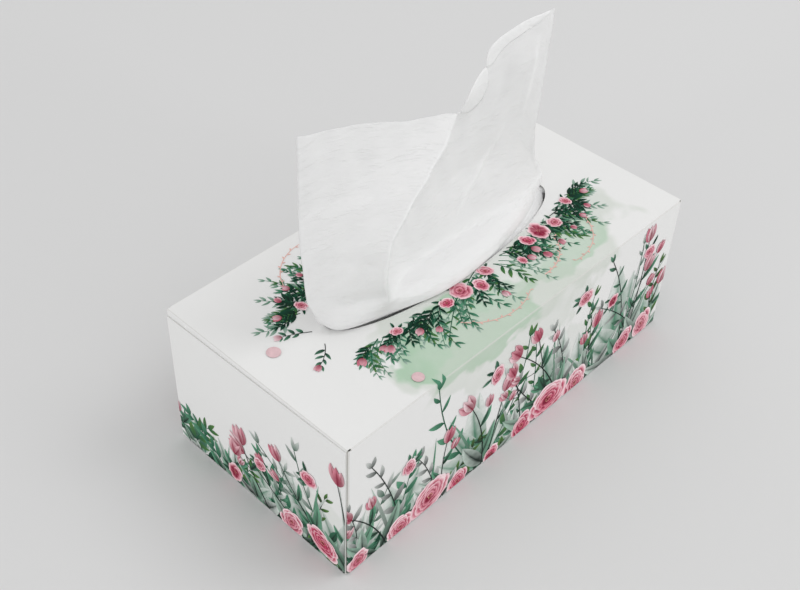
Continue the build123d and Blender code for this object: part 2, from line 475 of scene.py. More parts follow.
def tissue_material(name, settings, see_through, place_name=None):
    """Soft creped tissue: short crepe ridges across the sheet, matt, with a little light through it. With a
    place attribute, its colour is also whitened by the sheet's painted highlight.
    """
    material, w = blank_material(name)
    if place_name:
        place = w.node("ShaderNodeAttribute", attribute_name=place_name).outputs["Vector"]
    else:
        place = place_in_millimetres(w)[0]
    fibre = w.group(paper_fibre_effect(), Place=place, Fibre_Size=0.55, Mottle=0.02)
    crepe = stretched_noise(w, place, (0.3, 2.0, 2.0), 3.0, 0.55, 0.3)
    stroke = w.soft_step(stretched_noise(w, place, (0.17, 1.15, 1.15), 1.5, 0.5, 0.25), 0.53, 0.68)
    patch = w.soft_step(stretched_noise(w, place, (0.045, 0.12, 0.12), 2.0, 0.5), 0.4, 0.62)
    depth = w.plus(w.times(crepe, 0.45), w.times(stroke, w.plus(0.25, w.times(patch, 0.6))))
    height = w.plus(w.times(depth, settings.crepe_depth * 2), w.times(fibre["Height"], 0.2))
    white = tuple(settings.tissue_white)
    if place_name:
        # Painted highlight: the tissue colour is mixed towards pure white where the sheet's attribute asks
        # for it
        painted_highlight = w.node("ShaderNodeAttribute", attribute_name="sheet_crest").outputs["Fac"]
        white = w.mix(painted_highlight, white, ink(255, 255, 255))
    surface = bumped_shader(w, w.toned(white, fibre["Tone"]), 0.9, height, 0.55, 0.0003,
                            Specular_IOR_Level=0.15, Sheen_Weight=0.12, Sheen_Roughness=0.6)
    if see_through:
        glow = w.node("ShaderNodeBsdfTranslucent", {"Color": tuple(settings.tissue_white)})
        both = w.node("ShaderNodeMixShader", {"Fac": see_through})
        w.feed(both.inputs[1], surface)
        w.feed(both.inputs[2], glow.outputs[0])
        surface = both.outputs[0]
    w.node("ShaderNodeOutputMaterial", {"Surface": surface})
    return material


# The print

# The lowest layer's lift, and the small steps between the shapes of one layer
FIRST_LIFT = 0.02
LIFT_STEP = 0.0008
LIFT_STEPS = 80
INK_MARGIN = 0.35
# The flat map: its side, then for each panel where its print begins and how far on the second print lies
FLAT_MAP_SIZE = 330
FLAT_MAP_LONG = (116, 0, 142)
FLAT_MAP_END = (236, 58, 120)
POINT_WIDTH = 0.02
LARGE_BUD = 6.0
TALL_CLUMP = 70
# Clumps along the foot of a panel: place across, height and lean
LONG_CLUMPS = [(-112.0, 52.0, -0.1), (-88.0, 66.0, 0.2), (-58.0, 52.0, -0.25), (-30.0, 84.0, 0.1),
               (0.0, 58.0, -0.15), (28.0, 90.0, 0.15), (54.0, 62.0, -0.2), (80.0, 86.0, 0.05),
               (104.0, 66.0, 0.0)]
END_CLUMPS = [(-46.0, 26.0, 0.2), (-22.0, 32.0, 0.1), (6.0, 44.0, 0.45), (32.0, 62.0, 0.4),
              (54.0, 78.0, 0.35)]
# Blossoms: place across, place up and radius
FOOT_BLOSSOMS = [(-82, 4, 9.0), (-63, 9, 14.0), (-44, 3, 9.0), (2, 5, 10.0), (22, 9, 15.0), (44, 4, 11.0),
                 (84, 6, 9.0), (100, 8, 10.5), (-20, 3, 6.0), (-108, 5, 7.0)]
HIGH_BLOSSOMS = [(-78, 42, 5.5), (-22, 58, 6.0), (40, 64, 6.0), (66, 46, 5.0), (92, 62, 5.5)]
END_BLOSSOMS = [(42, 10, 11.5), (22, 6, 8.5), (-16, 7, 6.5), (34, 46, 5.5), (2, 28, 4.5)]
# The garland on the front rim: degrees round the opening, and how far its ends bow away from the rim
GARLAND_START = 216
GARLAND_END = 337
GARLAND_BOW = 11.0
GARLAND_STEPS = 46
# Blossoms of the garland: share of the way along it, distance out and radius
GARLAND_BLOSSOMS = ((0.30, 6.0, 4.2), (0.36, 4.5, 6.2), (0.42, 9.0, 4.6), (0.47, 4.0, 4.8),
                    (0.66, 5.0, 4.6), (0.72, 5.0, 6.6), (0.78, 8.0, 4.2), (0.12, 4.0, 3.4),
                    (0.92, 4.0, 3.6), (0.57, 12.0, 3.2))
# Curled lines: root, heading, size and bend
TENDRILS = (((-30.0, HEIGHT + 19.0), -0.5, 44.0, 1.5), ((70.0, HEIGHT + 31.0), -2.2, 42.0, -1.6),
            ((22.0, HEIGHT + 12.0), 0.3, 30.0, 1.2))
# On the near half only: sprigs (across, up, heading) and round spots (across, up, radius)
STRAY_SPRIGS = ((-79.0, HEIGHT + 58.0, 2.6), (-80.0, HEIGHT + 49.0, -2.4))
DISCS = ((-99.0, HEIGHT + 60.0, 3.2), (-66.0, HEIGHT + 8.0, 2.8))


class InkLayer:
    """Flat coloured shapes on the blank. A place is (across, up, lift); a shape is a grid of places."""

    def __init__(self, level):
        self.level = level
        self.count = 0
        self.panels = {"long": ([], [], []), "near": ([], [], []), "end": ([], [], [])}

    def shape(self, panel, rows, tones):
        """Adds a grid of places, with one tone for each place."""
        places, faces, colours = self.panels[panel]
        lift = self.level + self.count % LIFT_STEPS * LIFT_STEP
        self.count += 1
        start = len(places)
        wide = len(rows[0])
        for row, row_tones in zip(rows, tones):
            places += [(across, up, lift) for across, up in row]
            colours += row_tones
        faces += grid_faces(len(rows), wide, start).tolist()


def blend_tones(first, second, share):
    return tuple(a + (b - a) * share for a, b in zip(first[:3], second[:3]))


def strengthened(tone, factor):
    return tuple(min(value * factor, 1.0) for value in tone[:3])


def leaf_tones(settings):
    return settings.leaf_dark, settings.leaf_green, settings.leaf_sage, settings.leaf_fresh


def leaf(layer, panel, root, heading, size, width, deep, pale, bend=0.0, blunt=0.8, steps=7):
    """One leaf: a bent spindle in two halves, darker at its root and on one side. Returns its tip."""
    across, up = root
    rows, tones = [], []
    for i in range(steps + 1):
        t = i / steps
        turn = heading + bend * (t - 0.5)
        half = POINT_WIDTH
        if 0 < i < steps:
            half = max(width / 2 * math.sin(math.pi * min(t ** blunt, 1.0)) ** 0.85, 0.0)
        side = (-math.sin(turn) * half, math.cos(turn) * half)
        rows.append([(across + side[0] * spread, up + side[1] * spread) for spread in (1.0, 0.0, -1.0)])
        tone = blend_tones(deep, pale, t ** 0.8)
        tones.append([strengthened(tone, 1 + (shade - 1) * (1 - 0.6 * t)) for shade in (1.12, 0.84, 0.95)])
        across += math.cos(turn) * size / steps
        up += math.sin(turn) * size / steps
    layer.shape(panel, rows, tones)
    return across, up


def stem(layer, panel, root, heading, size, thickness, tone, bend=0.0, steps=8):
    """A thin stem. Returns places and headings along it."""
    across, up = root
    rows, tones, way = [], [], []
    for i in range(steps + 1):
        t = i / steps
        turn = heading + bend * (t - 0.3)
        half = thickness / 2 * (1 - 0.5 * t)
        side = (-math.sin(turn) * half, math.cos(turn) * half)
        rows.append([(across + side[0], up + side[1]), (across - side[0], up - side[1])])
        tones.append([tone[:3], tone[:3]])
        way.append((across, up, turn))
        across += math.cos(turn) * size / steps
        up += math.sin(turn) * size / steps
    layer.shape(panel, rows, tones)
    return way


def painted_leaf(layer, panel, root, heading, size, width, deep, pale, bend=0.0, steps=9, bright_side=1):
    """A leaf as a brush lays it: dark at its root and along its veins, faint at its tip and one edge."""
    across, up = root
    spreads = (-1.0, -0.64, -0.3, -0.05, 0.05, 0.3, 0.64, 1.0)
    rows, tones = [], []
    for i in range(steps + 1):
        t = i / steps
        turn = heading + bend * (t - 0.5)
        half = max(width / 2 * max(math.sin(math.pi * t ** 0.85), 0.0) ** 0.85, POINT_WIDTH)
        side = (-math.sin(turn) * half, math.cos(turn) * half)
        rows.append([(across + side[0] * spread, up + side[1] * spread) for spread in spreads])
        line = []
        for spread in spreads:
            fade = 0.88 * t ** 1.1 + 0.3 * abs(spread) ** 1.6
            fade += 0.13 * bright_side * (1 if spread > 0 else -1)
            fade += 0.07 * math.sin(t * 30 - abs(spread) * 4) - (0.3 if abs(spread) < 0.1 else 0.0)
            line.append(blend_tones(deep, pale, min(max(fade, 0.0), 1.0)))
        tones.append(line)
        across += math.cos(turn) * size / steps
        up += math.sin(turn) * size / steps
    layer.shape(panel, rows, tones)


def leafy_stem(layer, panel, root, heading, size, leaf_size, deep, pale, dice, leaves=9, slim=0.3, bend=None):
    """A curved stem with leaves turn about on both sides that shrink towards the tip."""
    bend = dice.uniform(-0.7, 0.7) if bend is None else bend
    way = stem(layer, panel, root, heading, size, 0.3 + size * 0.008, deep, bend, leaves + 1)
    for i, (across, up, turn) in enumerate(way[2:]):
        t = (i + 2) / len(way)
        side = 1 if i % 2 else -1
        reach = leaf_size * (1.15 - 0.5 * t) * dice.uniform(0.8, 1.15)
        leaf(layer, panel, (across, up), turn + side * dice.uniform(0.4, 0.95), reach,
             reach * slim * dice.uniform(0.85, 1.2), deep, blend_tones(deep, pale, dice.uniform(0.5, 1.0)),
             side * -dice.uniform(0.1, 0.6), steps=5)
    across, up, turn = way[-1]
    leaf(layer, panel, (across, up), turn, leaf_size * 0.7, leaf_size * slim * 0.7, deep, pale, steps=5)
    return way


def three_tones(deep, middle, pale, share):
    """Deep at 0, middle at a half, pale at 1."""
    share = min(max(share, 0.0), 1.0)
    return blend_tones(deep, middle, share * 2) if share < 0.5 else blend_tones(middle, pale, share * 2 - 1)


def petal(layer, panel, centre, heading, size, opening, tones, squash, lighten, covered, fine, dice):
    """One rounded petal from the heart outwards: deep under the next ring, pale at its curled rim."""
    rows, row_tones = [], []
    notch, lean = dice.uniform(0.0, 0.1), dice.uniform(-0.09, 0.09)
    half = 4 if fine else 2
    for t in [0.0] + [covered + (1 - covered) * i / (5 if fine else 3) for i in range(6 if fine else 4)]:
        row, line = [], []
        shown = (t - covered) / (1 - covered)
        for j in range(2 * half + 1):
            share = j / half - 1
            dent = notch * math.exp(-(share / 0.22) ** 2) * t
            far = size * t * (1 - 0.2 * abs(share) ** 2.6 + lean * share - dent)
            turn = heading + opening * share * (0.55 + 0.45 * t ** 0.6)
            a, b = math.cos(turn) * far, math.sin(turn) * far
            along = a * math.cos(squash[1]) + b * math.sin(squash[1])
            across = (b * math.cos(squash[1]) - a * math.sin(squash[1])) * squash[0]
            row.append((centre[0] + along * math.cos(squash[1]) - across * math.sin(squash[1]),
                        centre[1] + along * math.sin(squash[1]) + across * math.cos(squash[1])))
            vein = 0.1 * (1 - max(shown, 0.0)) if j % 2 else 0.0
            edge = -0.22 * max(0.0, (shown - 0.92) / 0.08) - 0.14 * abs(share) ** 4
            line.append(three_tones(*tones, 0.08 + 0.98 * max(shown, 0.0) ** 0.85 + edge + lighten - vein))
        rows.append(row)
        row_tones.append(line)
    layer.shape(panel, rows, row_tones)


def blossom(layer, panel, centre, radius, tones, dice, petals=5):
    """A many-petalled blossom in rings, pale outside and deep in its heart, seen a little from the side."""
    start = dice.uniform(0, math.tau)
    squash = (dice.uniform(0.66, 0.97), dice.uniform(0, math.pi))
    fine = radius > 7.0
    rings = (1.0, 0.8, 0.61, 0.43, 0.25) if fine else (1.0, 0.68, 0.36)
    for ring, reach in enumerate(rings):
        covered = rings[ring + 1] / reach * 0.9 if ring + 1 < len(rings) else 0.05
        lighten = 0.08 - 0.42 * ring / (len(rings) - 1)
        for p in range(petals):
            middle = start + (p + 0.45 * ring) * math.tau / petals + dice.uniform(-0.14, 0.14)
            light = 0.08 * math.sin(middle) + dice.uniform(-0.06, 0.08)
            size = radius * reach * dice.uniform(0.9, 1.07)
            petal(layer, panel, centre, middle, size, dice.uniform(0.66, 0.8), tones, squash,
                  lighten + light, covered, fine, dice)


def spot(layer, panel, centre, radius, middle_tone, rim_tone, count):
    """A small filled disc with so many sides."""
    rows, tones = [], []
    for t in (0.02, 0.75, 1.0):
        turns = [math.tau * i / count for i in range(count + 1)]
        rows.append([(centre[0] + math.cos(turn) * radius * t, centre[1] + math.sin(turn) * radius * t)
                     for turn in turns])
        tones.append([blend_tones(middle_tone, rim_tone, t)] * (count + 1))
    layer.shape(panel, rows, tones)


def bud(layers, panel, root, heading, size, settings, dice):
    """A closed bud: petals streaked from deep rose to pale, in a small green cup."""
    deep, rose, pale = settings.blossom_deep, settings.blossom_rose, settings.blossom_pale
    petals = layers["blossoms"]
    for side, light in ((-0.24, 0.05), (0.26, 0.25), (0.02, 0.0)):
        streak = blend_tones(deep, rose, light * 0.5 + dice.uniform(0.0, 0.12))
        tip = blend_tones(rose, pale, dice.uniform(0.2, 0.95))
        reach = size * dice.uniform(0.86, 1.05)
        turn = heading + side
        if size > LARGE_BUD:
            painted_leaf(petals, panel, root, turn, reach, size * 0.4, streak, tip, -side * 1.6, steps=7)
        else:
            leaf(petals, panel, root, turn, reach, size * 0.46, streak, tip, -side * 1.1, 0.95, steps=5)
    for side in (-0.6, 0.0, 0.6):
        leaf(layers["dark"], panel, root, heading + side, size * 0.46, size * 0.15, settings.leaf_dark,
             settings.leaf_green, -side * 0.6, steps=4)


def hearts(layers, panel, centre, radius, settings, dice):
    """The dots in the heart of a blossom."""
    for i in range(9):
        angle = math.tau * i / 9 + dice.uniform(-0.2, 0.2)
        far = radius * dice.uniform(0.06, 0.15)
        place = (centre[0] + math.cos(angle) * far, centre[1] + math.sin(angle) * far)
        spot(layers["dots"], panel, place, radius * 0.024, settings.heart_gold, settings.heart_brown, count=7)


def flower_stem(layers, panel, root, heading, size, bud_size, settings, dice):
    """A stem with a bud at its top, a smaller one on a branch, and two leaves."""
    dark, green, sage = settings.leaf_dark, settings.leaf_green, settings.leaf_sage
    way = stem(layers["dark"], panel, root, heading, size, 0.35 + bud_size * 0.04, dark,
               dice.uniform(-0.6, 0.6))
    bud(layers, panel, way[-1][:2], way[-1][2] + dice.uniform(-0.2, 0.2), bud_size, settings, dice)
    for i, side in ((3, 1), (5, -1)):
        turn = way[i][2] + side * dice.uniform(0.5, 0.9)
        painted_leaf(layers["middle"], panel, way[i][:2], turn, bud_size * dice.uniform(0.9, 1.4),
                     bud_size * 0.32, dark, sage, -side * 0.5, bright_side=side)
    side = dice.choice((-1, 1))
    branch = stem(layers["dark"], panel, way[5][:2], way[5][2] + side * 0.8, size * 0.24, 0.4,
                  blend_tones(dark, green, 0.5), -side * 0.6)
    bud(layers, panel, branch[-1][:2], branch[-1][2], bud_size * dice.uniform(0.55, 0.75), settings, dice)


def plant_clump(layers, panel, root, tall, settings, dice, lean):
    """Plants that fan out from one place: faint broad leaves behind, then blades, sprays and buds."""
    dark, green, sage, fresh = leaf_tones(settings)
    faint = blend_tones(sage, settings.board_white, 0.85)
    upward = math.pi / 2 + lean

    def start(reach):
        return root[0] + dice.uniform(-reach, reach), root[1] + dice.uniform(-3.0, 3.0)

    broad = 3 + int(tall / 28)
    for i in range(broad):
        turn = (2 * i / (broad - 1) - 1) * 0.9 + dice.uniform(-0.15, 0.15)
        size = tall * (0.95 - 0.35 * abs(turn)) * dice.uniform(0.5, 0.92)
        painted_leaf(layers["pale"], panel, start(6.0), upward + turn, size, size * dice.uniform(0.26, 0.34),
                     blend_tones(green, sage, dice.uniform(0.1, 0.6)), faint, -turn * 0.6, steps=11,
                     bright_side=1 if turn > 0 else -1)
    for _ in range(2):
        turn = dice.uniform(-0.8, 0.8)
        leaf(layers["middle"], panel, start(7.0), upward + turn, tall * dice.uniform(0.5, 0.9),
             dice.uniform(1.2, 2.0), dark, blend_tones(sage, faint, dice.random()),
             turn * dice.uniform(0.2, 1.2), steps=11)
    for _ in range(2):
        turn = dice.uniform(-0.75, 0.75)
        leafy_stem(layers["middle"], panel, start(6.0), upward + turn, tall * dice.uniform(0.65, 1.05),
                   dice.uniform(8.5, 12.5), dice.choice((dark, green)), dice.choice((fresh, sage, faint)),
                   dice, leaves=9, slim=dice.uniform(0.26, 0.38))
    for i in range(4):
        turn = (i - 1.5) / 1.5 * 1.1 + dice.uniform(-0.25, 0.25)
        painted_leaf(layers["dark"], panel, start(8.0), upward + turn, tall * dice.uniform(0.28, 0.58),
                     dice.uniform(5.5, 9.0), dark, blend_tones(sage, faint, dice.uniform(0.0, 1.0)),
                     -turn * 0.8, bright_side=1 if turn > 0 else -1)
    for _ in range(2 if tall > TALL_CLUMP else 1):
        flower_stem(layers, panel, start(7.0), upward + dice.uniform(-0.55, 0.55),
                    tall * dice.uniform(0.5, 0.85), dice.uniform(10.0, 13.0), settings, dice)


def plant_border(layers, panel, clumps, settings, dice):
    """A meadow along the foot of a panel: clumps given as (across, height, lean), low growth between them."""
    dark, green, sage, fresh = leaf_tones(settings)
    faint = blend_tones(sage, settings.board_white, 0.7)
    across = clumps[0][0]
    while across < clumps[-1][0]:
        lean = math.pi / 2 + dice.uniform(-0.9, 0.9)
        painted_leaf(layers["pale"], panel, (across, dice.uniform(-4, 2)), lean, dice.uniform(14.0, 26.0),
                     dice.uniform(5.0, 8.0), blend_tones(green, sage, 0.4), faint, dice.uniform(-0.5, 0.5))
        painted_leaf(layers["dark"], panel, (across + 2.5, dice.uniform(-4, 1)),
                     lean + dice.uniform(-0.8, 0.8), dice.uniform(9.0, 17.0), dice.uniform(3.5, 5.5), dark,
                     dice.choice((green, sage, fresh)), dice.uniform(-0.8, 0.8))
        across += dice.uniform(7.0, 11.0)
    for across, tall, lean in clumps:
        plant_clump(layers, panel, (across, -1.0), tall, settings, dice, lean)


def blossom_cluster(layers, panel, places, settings, dice):
    """Blossoms given as (across, up, radius), each on a few dark leaves."""
    for across, up, radius in places:
        faded = dice.uniform(0.0, 0.3)
        tones = (blend_tones(settings.blossom_deep, settings.blossom_rose, faded * 0.5),
                 blend_tones(settings.blossom_rose, settings.blossom_pale, faded), settings.blossom_pale)
        for _ in range(4):
            turn = dice.uniform(0, math.tau)
            foot = (across + math.cos(turn) * radius * 0.6, up + math.sin(turn) * radius * 0.6)
            painted_leaf(layers["dark"], panel, foot, turn + dice.uniform(-0.4, 0.4),
                         radius * dice.uniform(0.8, 1.2), radius * 0.36, settings.leaf_dark,
                         blend_tones(settings.leaf_green, settings.leaf_sage, dice.random()),
                         dice.uniform(-0.5, 0.5), steps=6)
        blossom(layers["blossoms"], panel, (across, up), radius, tones, dice, 6 if radius > 13 else 5)
        hearts(layers, panel, (across, up), radius, settings, dice)


def rim_place(share, out):
    """A place out from the front rim of the opening, and the heading away from the rim there."""
    angle = math.radians(GARLAND_START + (GARLAND_END - GARLAND_START) * share)
    out += GARLAND_BOW * (2 * share - 1) ** 2
    place = (math.cos(angle) * (OPENING_HALF_LENGTH + out),
             HEIGHT + WIDTH / 2 + math.sin(angle) * (OPENING_HALF_WIDTH + out))
    along = math.atan2(math.cos(angle) * OPENING_HALF_WIDTH, -math.sin(angle) * OPENING_HALF_LENGTH)
    return place, along - math.pi / 2


def plant_tendrils(layers, settings):
    """Thin curled lines over the wash, with small beads turn about on both sides."""
    pink = settings.tendril_pink
    for root, heading, size, bend in TENDRILS:
        way = stem(layers["middle"], "long", root, heading, size, 0.55, pink, bend, 26)
        for i, (across, up, turn) in enumerate(way[2::2]):
            side = 1 if i % 2 else -1
            leaf(layers["middle"], "long", (across, up), turn + side * 0.9, 1.8, 0.8, pink, pink, steps=3)


def plant_garland(layers, settings, dice):
    """Airy sprays that follow the front rim of the opening on the top panel, with buds at their ends."""
    dark, green, sage, fresh = leaf_tones(settings)
    faint = blend_tones(sage, settings.board_white, 0.5)
    shaded = blend_tones(green, sage, 0.4)
    for i in range(GARLAND_STEPS):
        share = (i + 0.5) / GARLAND_STEPS
        gaps = 0.75 + 0.25 * math.cos(5.2 * math.pi * share)
        swell = 0.45 + 0.55 * math.sin(math.pi * share) ** 0.8 * gaps
        place, away = rim_place(share, dice.uniform(1.0, 5.0))
        way_round = -1 if share < 0.5 else 1
        sprays = (("pale", shaded, faint, 34.0, 0.6),
                  ("middle", green, dice.choice((sage, fresh)), 29.0, 0.6),
                  ("dark", dark, green, 21.0, 0.5))
        for layer, deep, pale, reach, chance in sprays:
            if dice.random() > chance:
                continue
            heading = away + way_round * dice.uniform(0.1, 1.25)
            way = leafy_stem(layers[layer], "long", place, heading, reach * swell * dice.uniform(0.7, 1.1),
                             dice.uniform(4.2, 6.2), deep, pale, dice, leaves=8, slim=0.27,
                             bend=-way_round * dice.uniform(0.0, 0.9))
            if layer == "dark" and dice.random() < 0.6:
                bud(layers, "long", way[-1][:2], way[-1][2], dice.uniform(3.6, 5.4), settings, dice)
    for share, out, radius in GARLAND_BLOSSOMS:
        blossom_cluster(layers, "long", [(*rim_place(share, out)[0], radius)], settings, dice)
    plant_tendrils(layers, settings)
    for across, up, turn in STRAY_SPRIGS:
        way = leafy_stem(layers["middle"], "near", (across, up), turn, 13.0, 5.0, dark, sage, dice,
                         leaves=6, slim=0.36)
        bud(layers, "near", way[-1][:2], way[-1][2], 4.2, settings, dice)
    rim_pink = strengthened(settings.disc_pink, 0.93)
    for across, up, radius in DISCS:
        spot(layers["dots"], "near", (across, up), radius, settings.disc_pink, rim_pink, count=28)


def printed_shapes(settings):
    """All ink layers of one half of the design, laid flat."""
    dice = random.Random(settings.print_seed)
    lift = settings.ink_lift / MM
    names = ("pale", "middle", "dark", "blossoms", "dots")
    layers = {name: InkLayer(FIRST_LIFT + i * lift) for i, name in enumerate(names)}
    plant_border(layers, "long", LONG_CLUMPS, settings, dice)
    plant_border(layers, "end", END_CLUMPS, settings, dice)
    blossom_cluster(layers, "long", FOOT_BLOSSOMS, settings, dice)
    blossom_cluster(layers, "long", HIGH_BLOSSOMS, settings, dice)
    blossom_cluster(layers, "end", END_BLOSSOMS, settings, dice)
    plant_garland(layers, settings, dice)
    return layers


def on_long_panels(across, up, lift):
    """A place on the blank, wrapped up the front panel, round its upright folds and over the top panel."""
    quarter = FOLD * math.pi / 2
    straight = HEIGHT - FOLD
    past = abs(across) - UPRIGHT_FOLD
    if up <= straight and past > 0:
        angle = past / FOLD
        x = UPRIGHT_FOLD + math.sin(angle) * (FOLD + lift)
        return math.copysign(x, across), -WIDTH / 2 + FOLD - math.cos(angle) * (FOLD + lift), up
    if up <= straight:
        return across, -WIDTH / 2 - lift, up
    if up < straight + quarter:
        angle = (up - straight) / FOLD
        out = FOLD + lift
        return across, -WIDTH / 2 + FOLD - math.cos(angle) * out, straight + math.sin(angle) * out
    return across, -WIDTH / 2 + FOLD + (up - straight - quarter), HEIGHT + lift


def on_end(across, up, lift):
    """A place on the closed end on the left."""
    return -LENGTH / 2 - lift, -across, up


def cut_ink(shapes, cuts, limits):
    """A flat mesh of the shapes, cut along lines and trimmed. A line is a point and a direction."""
    places, faces, colours = shapes
    flat = bmesh.new()
    tones = flat.verts.layers.float_color.new("painted_tone")
    made = []
    for place, tone in zip(places, colours):
        vertex = flat.verts.new(place)
        vertex[tones] = (*tone[:3], 1.0)
        made.append(vertex)
    for face in faces:
        flat.faces.new([made[i] for i in face])
    for lines, clear in ((cuts, False), (limits, True)):
        for point, outward in lines:
            everything = flat.verts[:] + flat.edges[:] + flat.faces[:]
            bmesh.ops.bisect_plane(flat, geom=everything, dist=1e-7, plane_co=point, plane_no=outward,
                                   clear_outer=clear)
    return flat, tones


def drop_off_board(flat, middle):
    """Removes what would hang over the oval opening or past the folds of the top panel's ends."""
    doomed = []
    for face in flat.faces:
        for corner in face.verts:
            a = corner.co.x / (OPENING_HALF_LENGTH + INK_MARGIN)
            b = (corner.co.y - middle) / (OPENING_HALF_WIDTH + INK_MARGIN)
            past_end = abs(corner.co.x) > TOP_FOLD and corner.co.y > HEIGHT - FOLD + 0.01
            if a * a + b * b < 1 or past_end:
                doomed.append(face)
                break
    bmesh.ops.delete(flat, geom=doomed, context="FACES")


def flat_spot(place, panel, turned):
    """Where a place of the print lies in the flat map, which holds all panels side by side."""
    if panel == "end":
        across, up, (right, above, second) = place.y, place.x, FLAT_MAP_END
    else:
        across, up, (right, above, second) = place.x, place.y, FLAT_MAP_LONG
    if turned != 1:
        above += second
    return (across + right) / FLAT_MAP_SIZE, (up + above) / FLAT_MAP_SIZE


def print_layer(name, layer, material):
    """One ink layer as a mesh: both long panels with the top, and both ends."""
    quarter = FOLD * math.pi / 2
    across, up = (1, 0, 0), (0, 1, 0)
    folds = [((0, HEIGHT - FOLD + quarter * share, 0), up) for share in (0.0, 0.33, 0.66, 1.0)]
    folds += [((side * (UPRIGHT_FOLD + quarter * share), 0, 0), across)
              for side in (-1, 1) for share in (0.0, 0.33, 0.66)]
    folds += [((side * TOP_FOLD, 0, 0), across) for side in (-1, 1)]
    middle = HEIGHT - 2 * FOLD + quarter + WIDTH / 2
    edge, end_edge = UPRIGHT_FOLD + quarter, WIDTH / 2 - 0.95
    foot = ((0, 0.85, 0), (0, -1, 0))
    flap_edge = HEIGHT - (FLAP_DROP_FRONT + FLAP_DROP_BACK) / 2 - 0.15
    flap_slope = -(FLAP_DROP_BACK - FLAP_DROP_FRONT) / WIDTH
    limits = {
        "long": [foot, ((edge, 0, 0), across), ((-edge, 0, 0), (-1, 0, 0)), ((0, middle - 0.2, 0), up)],
        "near": [],
        "end": [foot, ((end_edge, 0, 0), across), ((-end_edge, 0, 0), (-1, 0, 0)),
                ((0, flap_edge, 0), (flap_slope, 1, 0))],
    }
    points, faces, colours, spots = [], [], [], []
    for panel, cuts, place, turns in (("long", folds, on_long_panels, (1, -1)),
                                      ("near", [], on_long_panels, (1,)), ("end", [], on_end, (1, -1))):
        flat, tones = cut_ink(layer.panels[panel], cuts, limits[panel])
        if panel != "end":
            drop_off_board(flat, middle)
        flat.verts.index_update()
        for turned in turns:
            start = len(points)
            for vertex in flat.verts:
                x, y, z = place(*vertex.co)
                points.append((x * turned * MM, y * turned * MM, z * MM))
                colours.append(tuple(vertex[tones]))
                spots.append(flat_spot(vertex.co, panel, turned))
            faces += [[start + vertex.index for vertex in face.verts] for face in flat.faces]
        flat.free()
    mesh = bpy.data.meshes.new(name)
    mesh.from_pydata(points, [], faces)
    painted = mesh.color_attributes.new("painted_tone", "FLOAT_COLOR", "POINT")
    painted.data.foreach_set("color", np.array(colours, np.float32).ravel())
    lay_flat_map(mesh, np.array(spots, np.float32))
    mesh.update()
    turn_outward(mesh)
    piece = new_piece(name, mesh, material)
    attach(piece, "root")
    return piece


def turn_outward(mesh):
    """Each ink shape faces away from the carton."""
    work = bmesh.new()
    work.from_mesh(mesh)
    work.faces.ensure_lookup_table()
    centre = Vector((0, 0, HEIGHT / 2 * MM))
    for face in work.faces:
        middle = face.calc_center_median() - centre
        scaled = Vector((middle.x / LENGTH, middle.y / WIDTH, middle.z / HEIGHT))
        axis = max(range(3), key=lambda i: abs(scaled[i]))
        if face.normal[axis] * middle[axis] < 0:
            face.normal_flip()
    work.to_mesh(mesh)
    work.free()


# The pile

PILE_SEED = 5


def folded_pile(settings, material):
    """The interleaved sheets: one soft slab for each, with rounded folds in front and behind."""
    dice = random.Random(PILE_SEED)
    count = max(int(round((PILE_TOP - PILE_FOOT) / (settings.fold_height / MM))), 1)
    step = (PILE_TOP - PILE_FOOT) / count
    work = bmesh.new()
    for i in range(count):
        low = PILE_FOOT + i * step
        near = PILE_HALF_WIDTH - dice.uniform(0.0, 0.7)
        far = PILE_HALF_WIDTH - dice.uniform(0.0, 0.7)
        left = PILE_HALF_LENGTH - dice.uniform(0.0, 0.35)
        right = PILE_HALF_LENGTH - dice.uniform(0.0, 0.35)
        profile = []
        for side, half in ((-1, near), (1, far)):
            for turn in (-1.57, -0.9, 0.0, 0.9, 1.57):
                profile.append((side * (half - step * 0.5 + math.cos(turn) * step * 0.5),
                                low + step * 0.5 + side * math.sin(turn) * step * 0.46))
        ends = [[work.verts.new((x * MM, y * MM, min(z, PILE_TOP) * MM)) for y, z in profile]
                for x in (-left, right)]
        size = len(profile)
        for j in range(size):
            k = (j + 1) % size
            work.faces.new([ends[0][j], ends[0][k], ends[1][k], ends[1][j]])
        work.faces.new(ends[0][::-1])
        work.faces.new(ends[1])
    bmesh.ops.recalc_face_normals(work, faces=work.faces[:])
    mesh = bpy.data.meshes.new("folded_tissues")
    work.to_mesh(mesh)
    work.free()
    piece = new_piece("folded_tissues", mesh, material)
    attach(piece, "root")
    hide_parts("tissue_pile")
    return piece


# The drawn sheet

